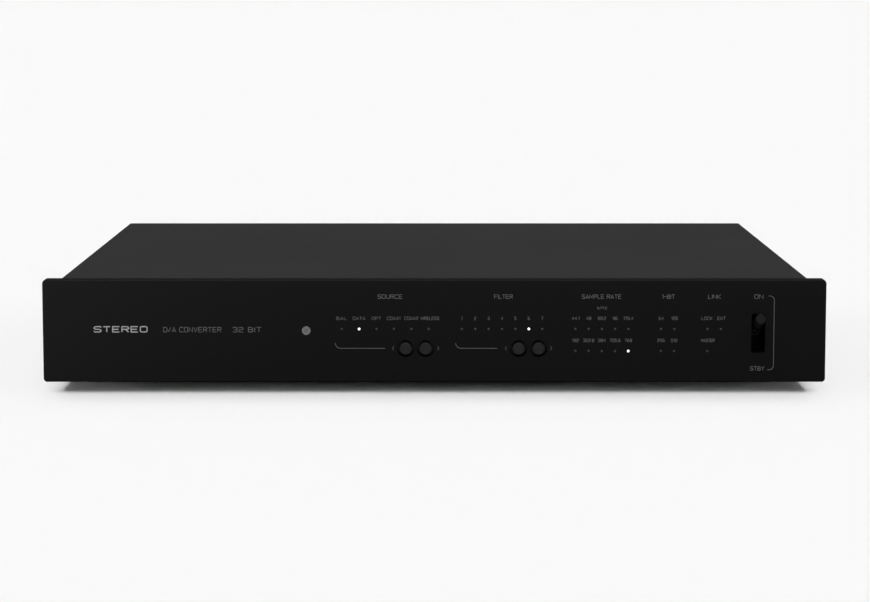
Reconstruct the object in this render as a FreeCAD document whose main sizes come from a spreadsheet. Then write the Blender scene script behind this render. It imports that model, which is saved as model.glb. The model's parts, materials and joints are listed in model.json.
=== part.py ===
"""A full-width desktop digital-to-analogue converter, as a parametric FreeCAD document.

Millimetres. +X is to the right of a person facing the front panel, +Y runs from front to back, +Z is up.
The origin is on the shelf under the middle of the unit.
"""

import FreeCAD
import Part
import Sketcher
import math
import os
from FreeCAD import Placement, Rotation, Vector

DIMENSIONS = {
    # Outside of the case
    "panel_width": 450,
    "panel_height": 59.3,
    "panel_thickness": 8,
    "panel_lift": 5.8,
    "panel_corner_top": 2.5,
    "panel_corner_base": 2,
    "panel_edge_round": 0.8,
    "body_depth": 363,
    "case_width": 431,
    "cover_drop": 0.2,
    "tray_base": 9,
    "sheet": 1.2,
    "sheet_gap": 0.3,
    "bend_outer": 1.2,
    "flange": 14,
    "tray_wall": 13,
    "cover_lip": 10,
    "vent_width": 3,
    "vent_length": 34,
    "vent_pitch": 9,
    "cover_lift": 0.4,
    "flange_hole": 8,
    "side_screw_height": 16,
    # Fits, and a depth that goes right through any wall
    "fit": 0.1,
    "slip": 0.2,
    "through": 60,
    # Windows in the sheet behind the face plate
    "frame_window_place": 45,
    "frame_window_rise": 7,
    "frame_window_width": 252,
    "frame_window_height": 27,
    "lever_window_width": 15,
    "lever_window_height": 25,
    # Feet
    "foot_across": 360,
    "foot_front_inset": 72,
    "foot_rear_inset": 52,
    "foot_radius": 20,
    "foot_taper": 1.5,
    "foot_body_base": 1.2,
    "pad_inner": 7.5,
    "pad_outer": 16.5,
    "pad_height": 2.6,
    "foot_bore": 2.2,
    "foot_head_bore": 4.6,
    "foot_head_seat": 5,
    "foot_screw_length": 8,
    "foot_screw_shank": 2.1,
    "foot_screw_head": 4.2,
    "foot_screw_height": 2.4,
    # Fasteners
    "screw_shank": 1.45,
    "screw_tapped": 1.5,
    "screw_clear": 1.6,
    "screw_length": 6,
    "screw_head": 2.8,
    "screw_head_height": 2,
    "standoff_radius": 2.6,
    "standoff_length": 7,
    "standoff_spigot": 1.55,
    "standoff_blind": 1.5,
    "tapped_shortfall": 0.5,
    "bracket_screw": 17,
    "inlet_screw": 20,
    # Indicators: places along the panel and heights above its lower edge
    "guide_pitch": 7.6,
    "source_first": -53.2,
    "source_pitch": 10,
    "filter_first": 15.8,
    "filter_pitch": 7.7,
    "rate_first": 81.1,
    "format_first": 130.3,
    "lock_first": 157,
    "upper_row": 30.8,
    "lower_row": 18,
    "guide_radius": 0.7,
    "guide_hole": 0.77,
    "guide_plate": 2,
    "guide_margin": 3.4,
    "guide_rim": 2,
    "guide_recess": 0.05,
    "guide_leg": 1.4,
    "guide_leg_rise": 1,
    "guide_leg_height": 1.6,
    "lamp_width": 2,
    "lamp_height": 1.4,
    "lamp_depth": 1.2,
    "lamp_gap": 0.3,
    # Push buttons
    "source_button": -16.45,
    "filter_button": 48.45,
    "button_pitch": 11.45,
    "button_height": 19.6,
    "button_radius": 3.5,
    "button_hole": 5,
    "button_flange": 5.4,
    "button_proud": 1.2,
    "button_stem": 1.7,
    "button_edge_round": 0.4,
    "button_flange_thickness": 1.2,
    "button_stem_entry": 1.2,
    "tact_width": 6,
    "tact_depth": 3.5,
    "tact_bore": 1.8,
    "tact_bore_depth": 2.4,
    # Remote-control window
    "window_place": -73.6,
    "window_height": 29.8,
    "window_radius": 2.6,
    "window_proud": 0.1,
    "window_bevel": 0.3,
    "window_flange": 1,
    "receiver_width": 5.6,
    "receiver_depth": 2.6,
    "receiver_drop": 4,
    "receiver_height": 7,
    "receiver_lens": 2.2,
    "receiver_lens_depth": 1.4,
    # Standby lever
    "lever_place": 186.2,
    "lever_height": 28.2,
    "slot_width": 8,
    "slot_height": 22.8,
    "slot_corner": 1.5,
    "lever_tilt": 17.5,
    "lever_reach": 12.5,
    "lever_pivot_depth": 20,
    "grip_radius": 2.9,
    "grip_root_radius": 2.3,
    "grip_start": 7.5,
    "grip_straight": 6,
    "grip_edge_round": 0.5,
    "arm_in_grip": 12,
    "lever_ball": 2.2,
    "lever_arm": 1.3,
    "lever_tail": 0.9,
    "lever_tail_length": 3.9,
    "bushing_radius": 3,
    "bushing_bore": 2.3,
    "bushing_length": 8,
    "bushing_lead": 1,
    "bore_overrun": 3.5,
    "bracket_inner": 13,
    "bracket_outer": 21,
    "bracket_width": 13,
    "toggle_width": 8,
    "toggle_height": 13,
    "toggle_depth": 10,
    "pin_width": 2,
    "pin_thickness": 0.8,
    "pin_pitch": 4.5,
    "pin_length": 4,
    "nut_radius": 4.6,
    "nut_thickness": 2,
    # Circuit boards
    "board": 1.6,
    "display_left": -88,
    "display_right": 178,
    "display_middle": 34,
    "display_height": 36,
    "main_left": -84,
    "main_right": 204,
    "main_front": -45,
    "main_rear": 172,
    "power_left": -200,
    "power_right": -96,
    "power_front": 16,
    "power_rear": 136,
    # Parts on the boards
    "signal_can": 5,
    "signal_can_height": 14,
    "reservoir_can": 10,
    "reservoir_can_height": 34,
    "can_groove": 2.8,
    "can_groove_width": 1.2,
    "can_groove_depth": 0.6,
    "can_shoulder": 0.8,
    "heatsink_left": -178,
    "heatsink_front": 100,
    "heatsink_height": 30,
    "heatsink_web": 3,
    "fin": 2,
    "fin_pitch": 8,
    "fin_reach": 12,
    # Mains transformer
    "coil_place": -145,
    "coil_depth": -56,
    "coil_radius": 50,
    "coil_bore": 18,
    "coil_height": 40,
    "coil_lift": 1,
    "coil_bolt": 2.9,
    "coil_round": 8,
    "cushion_radius": 40,
    "dish_depth": 3,
    "dish_floor": 12,
    "dish_shoulder": 22,
    "dish_radius": 38,
    "dish_sheet": 1.5,
    "dish_draft": 0.6,
    "coil_nut_height": 5,
    "bolt_head": 5,
    "bolt_head_height": 3.5,
    "bolt_head_draft": 0.4,
    "bolt_end": 3,
    # Rear connectors: places along the rear panel
    "connector_height": 32,
    "inlet_place": -178,
    "rocker_place": -129,
    "antenna_place": -98,
    "data_place": -72,
    "optical_place": -46,
    "coax_place": -20,
    "coax_pitch": 24,
    "balanced_input_place": 42,
    "line_place": 78,
    "line_pitch": 26,
    "balanced_place": 141,
    "balanced_pitch": 36,
    "socket_reach": 15,
    "phono_radius": 4.15,
    "phono_collar": 6.5,
    "phono_collar_length": 5,
    "phono_chamfer": 0.8,
    "phono_shank": 4.4,
    "phono_shank_length": 6,
    "phono_tail": 1,
    "phono_tail_length": 12,
    "phono_inner": 3.3,
    "phono_core": 2.9,
    "phono_cup_recess": 0.6,
    "phono_contact": 1.6,
    "phono_contact_depth": 2,
    "shell_bore": 9.4,
    "shell_radius": 11.6,
    "shell_depth": 18,
    "shell_cavity": 14,
    "square_flange_width": 26,
    "square_flange_height": 31,
    "flange_screw_across": 19,
    "flange_screw_up": 24,
    "flange_plate": 2,
    "signal_pin": 1.2,
    "signal_pin_length": 17,
    "signal_pin_tail": 6,
    "signal_hole": 1.4,
    "signal_hole_depth": 12,
    "nose_radius": 8.6,
    "nose_length": 4,
    "nose_recess": 2.5,
    "latch_width": 6.6,
    "latch_depth": 3.5,
    "latch_proud": 1.5,
    "latch_slot_low": 10,
    "latch_slot_high": 13.4,
    "latch_slot_depth": 6,
    "latch_notch_rise": 11,
    "latch_notch_width": 8,
    "latch_notch_height": 6,
    # Mains inlet, fuse drawer and rocker switch
    "inlet_width": 28,
    "inlet_height": 27.4,
    "inlet_depth": 24,
    "inlet_flange_width": 50,
    "inlet_flange_height": 31,
    "inlet_socket_rise": 4.6,
    "inlet_mouth_width": 24,
    "inlet_mouth_height": 16,
    "inlet_mouth_depth": 15,
    "blade_width": 2,
    "blade_height": 4,
    "blade_recess": 3,
    "tail_length": 8,
    "drawer_drop": 9,
    "drawer_width": 20.4,
    "drawer_height": 6.2,
    "drawer_depth": 20.4,
    "drawer_face": 1.6,
    "drawer_proud": 0.8,
    "drawer_wall": 1.3,
    "switch_width": 13,
    "switch_height": 19.2,
    "switch_rim": 1,
    "switch_depth": 15,
    "switch_tab": 6.4,
    "switch_tab_pitch": 10,
    "rocker_width": 10.8,
    "rocker_gap": 0.2,
    "rocker_well_height": 17.8,
    "rocker_well_depth": 9,
    "rocker_axle_depth": 2,
    "rocker_tilt": 10,
    "rocker_dip": 3,
    "rocker_end": 4.6,
    "rocker_reach": 8,
    "rocker_skirt": 0.8,
    "rocker_skirt_reach": 7.8,
    "rocker_heel": 4,
    "rocker_heel_reach": 3,
    "trunnion": 1.2,
    "trunnion_gap": 0.07,
    "trunnion_length": 11.8,
    # Aerial, data and optical sockets
    "antenna_shank": 3,
    "antenna_tail": 8,
    "antenna_nut": 4.6,
    "antenna_nut_height": 1.6,
    "antenna_shell": 3.05,
    "antenna_reach": 11,
    "antenna_mouth": 2.3,
    "antenna_mouth_depth": 5,
    "antenna_contact": 0.7,
    "antenna_contact_bore": 0.35,
    "antenna_core_shell": 1.2,
    "data_width": 12,
    "data_height": 11,
    "data_depth": 16,
    "data_mouth_width": 8.5,
    "data_mouth_height": 7.8,
    "data_mouth_depth": 9,
    "data_tongue_width": 5.6,
    "data_tongue_height": 3.2,
    "data_tongue_recess": 0.5,
    "optical_bezel": 4,
    "bezel_width": 13.5,
    "optical_width": 10.2,
    "optical_depth": 15,
    "optical_mouth": 8.4,
    "optical_mouth_depth": 10,
    "shutter_depth": 1,
    "shutter_rise": 3.3,
    "shutter_width": 8,
    "shutter_sheet": 0.8,
    "shutter_barrel": 0.7,
    "shutter_axle": 0.5,
    "shutter_axle_length": 9.2,
    # Wiring
    "plug_height": 9,
    "ribbon_place": 20,
    "ribbon_width": 20,
    "ribbon_thickness": 0.9,
    "ribbon_level": 5,
    "ribbon_plug_width": 26,
    "ribbon_plug_height": 6,
    "ribbon_plug_depth": 8,
    "ribbon_plug_inset": 4,
    "ribbon_socket_depth": 7,
    "mains_lead": 1.1,
    "winding_lead": 0.9,
    "winding_level": 30,
    "terminal_inset": 10,
    "terminal_depth": 8,
    "terminal_height": 8,
    "terminal_left": 9,
    "terminal_right": 17,
    "feed_lead": 1.6,
    "feed_place": 40,
    "feed_level": 6,
    "feed_inset": 2,
    "feed_plug": 6,
    "feed_plug_width": 10,
}

doc = FreeCAD.newDocument("desktop_converter")
sheet = doc.addObject("Spreadsheet::Sheet", "Dims")
pieces = {}


class Size:
    """A length or angle: its number now, and the spreadsheet formula that gives it."""

    def __init__(self, value, formula=None):
        self.value = value
        self.formula = formula if formula is not None else repr(value)

    def _with(self, other, operator, value):
        return Size(value, f"({self.formula} {operator} {other.formula})")

    def __add__(self, other):
        other = size(other)
        return self._with(other, "+", self.value + other.value)

    def __sub__(self, other):
        other = size(other)
        return self._with(other, "-", self.value - other.value)

    def __mul__(self, other):
        other = size(other)
        return self._with(other, "*", self.value * other.value)

    def __truediv__(self, other):
        other = size(other)
        return self._with(other, "/", self.value / other.value)

    def __radd__(self, other):
        return size(other) + self

    def __rsub__(self, other):
        return size(other) - self

    def __rmul__(self, other):
        return size(other) * self

    def __neg__(self):
        return size(0) - self


def size(value):
    """A Size for a Size or a plain number."""
    return value if isinstance(value, Size) else Size(value)


def cosine(angle):
    """The cosine of an angle in degrees."""
    return Size(math.cos(math.radians(angle.value)), f"cos({angle.formula})")


def sine(angle):
    """The sine of an angle in degrees."""
    return Size(math.sin(math.radians(angle.value)), f"sin({angle.formula})")


class Dimensions:
    """The spreadsheet's cells, read by alias as Sizes."""

    def __getattr__(self, alias):
        return Size(DIMENSIONS[alias], f"Dims.{alias}")


def fill_sheet():
    for row, (alias, number) in enumerate(DIMENSIONS.items(), start=1):
        sheet.set(f"A{row}", alias)
        sheet.set(f"B{row}", str(number))
        sheet.setAlias(f"B{row}", alias)
    doc.recompute()


# ---------------------------------------------------------------- building helpers


def bind(obj, prop, value):
    """Sets a property from the spreadsheet."""
    obj.setExpression(prop, size(value).formula)


def place(obj, x=0, y=0, z=0, rotation=None):
    """Puts an object at (x, y, z), each bound to the spreadsheet, with a fixed rotation."""
    spot = [size(x), size(y), size(z)]
    obj.Placement = Placement(Vector(*(s.value for s in spot)), rotation or Rotation())
    for axis, s in zip("xyz", spot):
        bind(obj, f"Placement.Base.{axis}", s)
    return obj


def keep(label, obj):
    """Marks an object as a finished sub-part."""
    obj.Label = label
    pieces[label] = obj
    return obj


def box(x_range, y_range, z_range):
    """A Part::Box between two corners."""
    obj = doc.addObject("Part::Box", "Box")
    spans = zip(("Length", "Width", "Height"), (x_range, y_range, z_range))
    for prop, (low, high) in spans:
        bind(obj, prop, size(high) - low)
    return place(obj, x_range[0], y_range[0], z_range[0])


def block(x, z, width, height, near, far):
    """A block that is centred on (x, z) and runs from near to far in depth."""
    return box((x - width / 2, x + width / 2), (near, far), (z - height / 2, z + height / 2))


TURN_TO = {
    "X": Rotation(Vector(0, 1, 0), 90),
    "Y": Rotation(Vector(1, 0, 0), -90),
    "Z": Rotation(),
}


def cylinder(axis, radius, length, x, y, z):
    """A Part::Cylinder that starts at (x, y, z) and runs along the positive axis."""
    obj = doc.addObject("Part::Cylinder", "Cylinder")
    bind(obj, "Radius", radius)
    bind(obj, "Height", length)
    return place(obj, x, y, z, TURN_TO[axis])


def fuse(*shapes):
    obj = doc.addObject("Part::MultiFuse", "Fusion")
    obj.Shapes = list(shapes)
    return obj


def cut(base, *tools):
    obj = doc.addObject("Part::Cut", "Cut")
    obj.Base = base
    obj.Tool = tools[0] if len(tools) == 1 else fuse(*tools)
    return obj


def together(shapes):
    """Several separate solids as one object."""
    obj = doc.addObject("Part::Compound", "Group")
    obj.Links = list(shapes)
    return obj


def copies(prototype, spots, rotation=None):
    """Links to one prototype, one at each (x, y, z)."""
    links = []
    for spot in spots:
        link = doc.addObject("App::Link", "Copy")
        link.setLink(prototype)
        links.append(place(link, *spot, rotation))
    return links


def new_body(x=0, y=0, z=0, rotation=None):
    return place(doc.addObject("PartDesign::Body", "Body"), x, y, z, rotation)


def new_sketch(body, plane, offset=0):
    """A sketch on one of the body's origin planes, moved along its normal by offset."""
    sketch = body.newObject("Sketcher::SketchObject", "Sketch")
    origin_plane = [f for f in body.Origin.OriginFeatures if f.Role == plane][0]
    sketch.AttachmentSupport = [(origin_plane, "")]
    sketch.MapMode = "FlatFace"
    bind(sketch, "AttachmentOffset.Base.z", offset)
    return sketch


def dimension(sketch, kind, references, value):
    """Adds a driving constraint bound to the spreadsheet."""
    value = size(value)
    index = sketch.addConstraint(Sketcher.Constraint(kind, *references, value.value))
    bind(sketch, f"Constraints[{index}]", value)


def outline(sketch, points):
    """A closed straight-sided outline with both coordinates of every corner bound."""
    points = [(size(u), size(v)) for u, v in points]
    corners = [Vector(u.value, v.value, 0) for u, v in points]
    ends = corners[1:] + corners[:1]
    first = sketch.GeometryCount
    sketch.addGeometry([Part.LineSegment(a, b) for a, b in zip(corners, ends)])
    count = len(points)
    for i, (u, v) in enumerate(points):
        following = first + (i + 1) % count
        sketch.addConstraint(Sketcher.Constraint("Coincident", first + i, 2, following, 1))
        dimension(sketch, "DistanceX", (-1, 1, first + i, 1), u)
        dimension(sketch, "DistanceY", (-1, 1, first + i, 1), v)


def rectangle(sketch, u, v, width, height):
    """A rectangle centred on (u, v)."""
    left, right = size(u) - size(width) / 2, size(u) + size(width) / 2
    low, high = size(v) - size(height) / 2, size(v) + size(height) / 2
    outline(sketch, [(left, low), (right, low), (right, high), (left, high)])


def circle(sketch, u, v, radius):
    u, v, radius = size(u), size(v), size(radius)
    ring = Part.Circle(Vector(u.value, v.value, 0), Vector(0, 0, 1), radius.value)
    index = sketch.addGeometry(ring)
    dimension(sketch, "Radius", (index,), radius)
    dimension(sketch, "DistanceX", (-1, 1, index, 3), u)
    dimension(sketch, "DistanceY", (-1, 1, index, 3), v)


def pad(body, sketch, length, reverse=False, both_ways=False):
    """Adds material along the sketch's normal, or against it, or half each way."""
    feature = body.newObject("PartDesign::Pad", "Pad")
    feature.Profile = (sketch, [""])
    feature.Reversed = reverse
    feature.Midplane = both_ways
    bind(feature, "Length", length)
    doc.recompute()
    return feature


def pocket(body, sketch, depth, reverse=False, both_ways=False):
    """Removes material against the sketch's normal, and stops if nothing was there to remove."""
    before = body.Shape.Volume
    feature = body.newObject("PartDesign::Pocket", "Pocket")
    feature.Profile = (sketch, [""])
    feature.Reversed = reverse
    feature.Midplane = both_ways
    bind(feature, "Length", depth)
    doc.recompute()
    if body.Shape.Volume > before - 0.01:
        raise RuntimeError(f"{sketch.Name} cuts nothing")
    return feature


def along(axis, *spots):
    """Picks straight edges along an axis whose other two coordinates match one of the spots."""
    number = "XYZ".index(axis)

    def pick(edge):
        ends = [vertex.Point for vertex in edge.Vertexes]
        if len(ends) != 2 or abs((ends[1] - ends[0])[number]) < edge.Length * 0.999:
            return False
        middle = [c for i, c in enumerate(ends[0]) if i != number]
        return any(math.dist(middle, [size(s).value for s in spot]) < 0.02 for spot in spots)

    return pick


def in_plane(axis, level):
    """Picks every edge that lies in a plane square to an axis."""
    number = "XYZ".index(axis)
    level = size(level).value

    def pick(edge):
        return all(abs(vertex.Point[number] - level) < 0.01 for vertex in edge.Vertexes)

    return pick


def dress(body, kind, pick, amount):
    """A Fillet or Chamfer on the picked edges of the body as it stands."""
    last = body.Tip
    names = [f"Edge{i}" for i, edge in enumerate(last.Shape.Edges, start=1) if pick(edge)]
    if not names:
        raise RuntimeError(f"{kind} found no edge")
    feature = body.newObject(f"PartDesign::{kind}", kind)
    feature.Base = (last, names)
    bind(feature, "Radius" if kind == "Fillet" else "Size", amount)
    doc.recompute()
    return feature


def turned(axis, profile, x=0, y=0, z=0, rotation=None):
    """A body of revolution about an axis; the profile is (distance along the axis, radius) pairs."""
    body = new_body(x, y, z, rotation)
    if axis == "Z":
        sketch = new_sketch(body, "XZ_Plane")
        outline(sketch, [(radius, distance) for distance, radius in profile])
    else:
        sketch = new_sketch(body, "YZ_Plane" if axis == "Y" else "XZ_Plane")
        outline(sketch, profile)
    feature = body.newObject("PartDesign::Revolution", "Revolution")
    feature.Profile = (sketch, [""])
    feature.ReferenceAxis = (sketch, ["V_Axis" if axis == "Z" else "H_Axis"])
    feature.Angle = 360
    doc.recompute()
    return body


def drilled(body, plane, spots, radius, depth, reverse=False, both_ways=False, offset=0):
    """Round holes of one radius through or into a body."""
    sketch = new_sketch(body, plane, offset)
    for u, v in spots:
        circle(sketch, u, v, radius)
    return pocket(body, sketch, depth, reverse, both_ways)


# ---------------------------------------------------------------- shared places

d = Dimensions()
fill_sheet()

front = -d.body_depth / 2
rear = d.body_depth / 2
panel_back = front + d.panel_thickness
panel_middle = d.panel_lift + d.panel_height / 2
tray_floor = d.tray_base + d.sheet
cover_top = d.panel_lift + d.panel_height - d.cover_drop
cover_under = cover_top - d.sheet
cover_inner = d.case_width / 2 - d.sheet
tray_outer = cover_inner - d.sheet_gap
tray_inner = tray_outer - d.sheet
plate_half = tray_inner - d.sheet_gap
plate_base = tray_floor + d.fit
plate_top = cover_under - d.fit
rear_face = rear - d.sheet - d.fit
frame_face = panel_back + d.sheet
display_face = frame_face + d.standoff_length
display_back = display_face + d.board
board_base = tray_floor + d.standoff_length
board_top = board_base + d.board
upper_row = d.panel_lift + d.upper_row
lower_row = d.panel_lift + d.lower_row
button_level = d.panel_lift + d.button_height
window_level = d.panel_lift + d.window_height
lever_level = d.panel_lift + d.lever_height
pivot = front + d.lever_pivot_depth
connector_level = d.connector_height
flange_face = rear_face + d.flange_plate


def row(first, pitch, count, level):
    """Evenly spaced (x, z) places along the front panel."""
    return [(first + pitch * i, level) for i in range(count)]


def grid(across, along_it):
    """Every pairing of two lists of places."""
    return [(u, v) for u in across for v in along_it]


GUIDES = {
    "source_light_guide": row(d.source_first, d.source_pitch, 6, upper_row),
    "filter_light_guide": row(d.filter_first, d.filter_pitch, 7, upper_row),
    "rate_light_guide": row(d.rate_first, d.guide_pitch, 5, upper_row)
    + row(d.rate_first, d.guide_pitch, 5, lower_row),
    "format_light_guide": row(d.format_first, d.guide_pitch, 2, upper_row)
    + row(d.format_first, d.guide_pitch, 2, lower_row),
    "lock_light_guide": row(d.lock_first, d.guide_pitch, 2, upper_row)
    + row(d.lock_first, d.guide_pitch, 1, lower_row),
}
BUTTONS = {
    "source_previous_button": d.source_button,
    "source_next_button": d.source_button + d.button_pitch,
    "filter_previous_button": d.filter_button,
    "filter_next_button": d.filter_button + d.button_pitch,
}
FEET = {
    "foot_front_left": (-d.foot_across / 2, front + d.foot_front_inset),
    "foot_front_right": (d.foot_across / 2, front + d.foot_front_inset),
    "foot_rear_left": (-d.foot_across / 2, rear - d.foot_rear_inset),
    "foot_rear_right": (d.foot_across / 2, rear - d.foot_rear_inset),
}
PHONO_PLACES = (d.coax_place, d.coax_place + d.coax_pitch, d.line_place, d.line_place + d.line_pitch)
OUTPUT_PLACES = (d.balanced_place, d.balanced_place + d.balanced_pitch)
SHELL_PLACES = (d.balanced_input_place, *OUTPUT_PLACES)

# Screw and post places. Those on an upright plate are (x, z), and the others are (x, y).
PANEL_SCREWS = grid((-200, 200), (20, 54)) + [(-60, 54), (60, 54)]
BRACKET_SCREWS = [(d.lever_place, lever_level + d.bracket_screw * s) for s in (1, -1)]
DISPLAY_POSTS = grid((-84, 174), (20, 48))
MAIN_POSTS = grid((-78, 60, 198), (-39, 138))
POWER_POSTS = grid((-195, -101), (21, 131))
INLET_SCREWS = [(d.inlet_place + d.inlet_screw * s, connector_level) for s in (-1, 1)]
LIP_SCREWS = grid((-190, -95, 0, 95, 190), (cover_top - d.cover_lip / 2,))
UNDER_PLACES = (-150, 0, 150)
UNDER_SCREWS = grid(UNDER_PLACES, (panel_back + d.flange_hole, rear_face - d.flange_hole))
SIDE_SCREWS = (-130, 0, 130)

# Rows of vent slots in the floor: the middle of each row, and the slots in it.
VENT_ROWS = ((60, 50), (20, -95))
VENTS_IN_ROW = 9


# ---------------------------------------------------------------- case


def front_panel():
    """The thick face plate, with rounded corners, a softened front edge and all its openings."""
    body = keep("front_panel", new_body(0, panel_back, 0))
    face = new_sketch(body, "XZ_Plane")
    rectangle(face, 0, panel_middle, d.panel_width, d.panel_height)
    pad(body, face, d.panel_thickness)
    side = d.panel_width / 2
    low, high = d.panel_lift, d.panel_lift + d.panel_height
    dress(body, "Fillet", along("Y", (-side, high), (side, high)), d.panel_corner_top)
    dress(body, "Fillet", along("Y", (-side, low), (side, low)), d.panel_corner_base)
    dress(body, "Fillet", in_plane("Y", -d.panel_thickness), d.panel_edge_round)
    guides = [spot for spots in GUIDES.values() for spot in spots]
    drilled(body, "XZ_Plane", guides, d.guide_hole, d.through, both_ways=True)
    buttons = [(x, button_level) for x in BUTTONS.values()]
    drilled(body, "XZ_Plane", buttons, d.button_hole, d.through, both_ways=True)
    window = [(d.window_place, window_level)]
    drilled(body, "XZ_Plane", window, d.window_radius + d.fit, d.through, both_ways=True)
    slot = new_sketch(body, "XZ_Plane")
    rectangle(slot, d.lever_place, lever_level, d.slot_width, d.slot_height)
    pocket(body, slot, d.through, both_ways=True)
    sides = [d.lever_place + d.slot_width / 2 * s for s in (-1, 1)]
    ends = [lever_level + d.slot_height / 2 * s for s in (-1, 1)]
    dress(body, "Fillet", along("Y", *grid(sides, ends)), d.slot_corner)
    depth = d.screw_length - d.tapped_shortfall
    drilled(body, "XZ_Plane", PANEL_SCREWS + BRACKET_SCREWS, d.screw_tapped, depth, reverse=True)


def channel(label, face, way, corner):
    """A folded upright plate: a C section whose flanges point away from its outer face."""
    body = keep(label, new_body(0, face, 0))
    flange, web = d.flange * way, d.sheet * way
    profile = new_sketch(body, "YZ_Plane")
    outline(
        profile,
        [
            (0, plate_base),
            (flange, plate_base),
            (flange, plate_base + d.sheet),
            (web, plate_base + d.sheet),
            (web, plate_top - d.sheet),
            (flange, plate_top - d.sheet),
            (flange, plate_top),
            (0, plate_top),
        ],
    )
    pad(body, profile, plate_half * 2, both_ways=True)
    dress(body, "Fillet", along("X", (0, plate_base), (0, plate_top)), corner)
    holes = [(x, d.flange_hole * way) for x in UNDER_PLACES]
    drilled(body, "XY_Plane", holes, d.screw_tapped, d.flange, both_ways=True, offset=plate_base)
    return body


def front_subframe():
    """The folded steel frame behind the face plate, with windows for the lamps, buttons and lever."""
    body = channel("front_subframe", panel_back, 1, d.bend_outer)
    windows = new_sketch(body, "XZ_Plane")
    level = lower_row + d.frame_window_rise
    rectangle(windows, d.frame_window_place, level, d.frame_window_width, d.frame_window_height)
    rectangle(windows, d.lever_place, lever_level, d.lever_window_width, d.lever_window_height)
    pocket(body, windows, d.through, both_ways=True)
    screws = PANEL_SCREWS + BRACKET_SCREWS + DISPLAY_POSTS
    drilled(body, "XZ_Plane", screws, d.screw_clear, d.sheet * 4, both_ways=True)


def base_tray():
    """The folded steel base: floor and side walls, vent slots, and holes for feet, posts and screws."""
    body = keep("base_tray", new_body(0, rear, 0))
    top = d.tray_base + d.tray_wall
    profile = new_sketch(body, "XZ_Plane")
    outline(
        profile,
        [
            (-tray_outer, d.tray_base),
            (tray_outer, d.tray_base),
            (tray_outer, top),
            (tray_inner, top),
            (tray_inner, tray_floor),
            (-tray_inner, tray_floor),
            (-tray_inner, top),
            (-tray_outer, top),
        ],
    )
    pad(body, profile, rear - panel_back)
    edges = along("Y", (-tray_outer, d.tray_base), (tray_outer, d.tray_base))
    dress(body, "Fillet", edges, d.bend_outer)
    holes = {
        d.screw_clear: MAIN_POSTS + POWER_POSTS + UNDER_SCREWS,
        d.foot_bore: list(FEET.values()),
        d.coil_bolt + d.slip: [(d.coil_place, d.coil_depth)],
    }
    for radius, spots in holes.items():
        spots = [(x, y - rear) for x, y in spots]
        drilled(body, "XY_Plane", spots, radius, d.through, both_ways=True)
    vents = new_sketch(body, "XY_Plane")
    for x, y in VENT_ROWS:
        start = x - d.vent_pitch * (VENTS_IN_ROW - 1) / 2
        for i in range(VENTS_IN_ROW):
            rectangle(vents, start + d.vent_pitch * i, y - rear, d.vent_width, d.vent_length)
    pocket(body, vents, d.through, both_ways=True)
    sides = [(y - rear, d.side_screw_height) for y in SIDE_SCREWS]
    drilled(body, "YZ_Plane", sides, d.screw_tapped, d.case_width * 2, both_ways=True)


def top_cover():
    """The folded steel cover: a roof, two sides that reach down over the tray, and a lip at the back."""
    body = keep("top_cover", new_body(0, rear, 0))
    side, low = d.case_width / 2, d.tray_base + d.cover_lift
    profile = new_sketch(body, "XZ_Plane")
    outline(
        profile,
        [
            (-side, low),
            (-cover_inner, low),
            (-cover_inner, cover_under),
            (cover_inner, cover_under),
            (cover_inner, low),
            (side, low),
            (side, cover_top),
            (-side, cover_top),
        ],
    )
    pad(body, profile, rear - panel_back - d.sheet_gap)
    lip = new_sketch(body, "XZ_Plane")
    rectangle(lip, 0, cover_top - d.cover_lip / 2, cover_inner * 2, d.cover_lip)
    pad(body, lip, d.sheet)
    dress(body, "Fillet", along("Y", (-side, cover_top), (side, cover_top)), d.bend_outer)
    sides = [(y - rear, d.side_screw_height) for y in SIDE_SCREWS]
    drilled(body, "YZ_Plane", sides, d.screw_clear, d.case_width * 2, both_ways=True)
    drilled(body, "XZ_Plane", LIP_SCREWS, d.screw_clear, d.sheet * 4, both_ways=True)


def flange_screws(x):
    """The two screw places of a square connector flange, on a diagonal."""
    across, up = d.flange_screw_across / 2, d.flange_screw_up / 2
    return [(x - across, connector_level + up), (x + across, connector_level - up)]


def rear_panel():
    """The folded steel rear plate, with an opening for each connector."""
    body = channel("rear_panel", rear_face, -1, d.bend_outer / 2)
    cutouts = new_sketch(body, "XZ_Plane")
    square = [
        (d.inlet_place, d.inlet_width, d.inlet_height),
        (d.rocker_place, d.switch_width, d.switch_height),
        (d.data_place, d.data_width, d.data_height),
        (d.optical_place, d.optical_width, d.optical_width),
    ]
    for x, width, height in square:
        rectangle(cutouts, x, connector_level, width + d.slip * 2, height + d.slip * 2)
    for x in PHONO_PLACES:
        circle(cutouts, x, connector_level, d.phono_shank + d.slip)
    circle(cutouts, d.antenna_place, connector_level, d.antenna_shank + d.slip)
    for x in SHELL_PLACES:
        circle(cutouts, x, connector_level, d.shell_radius + d.slip)
    pocket(body, cutouts, d.sheet * 4, both_ways=True)
    latch = new_sketch(body, "XZ_Plane")
    notch_level = connector_level + d.latch_notch_rise
    rectangle(latch, d.balanced_input_place, notch_level, d.latch_notch_width, d.latch_notch_height)
    pocket(body, latch, d.sheet * 4, both_ways=True)
    screws = [spot for x in SHELL_PLACES for spot in flange_screws(x)] + INLET_SCREWS + LIP_SCREWS
    drilled(body, "XZ_Plane", screws, d.screw_tapped, d.sheet * 4, both_ways=True)


# ---------------------------------------------------------------- feet and fasteners


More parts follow.
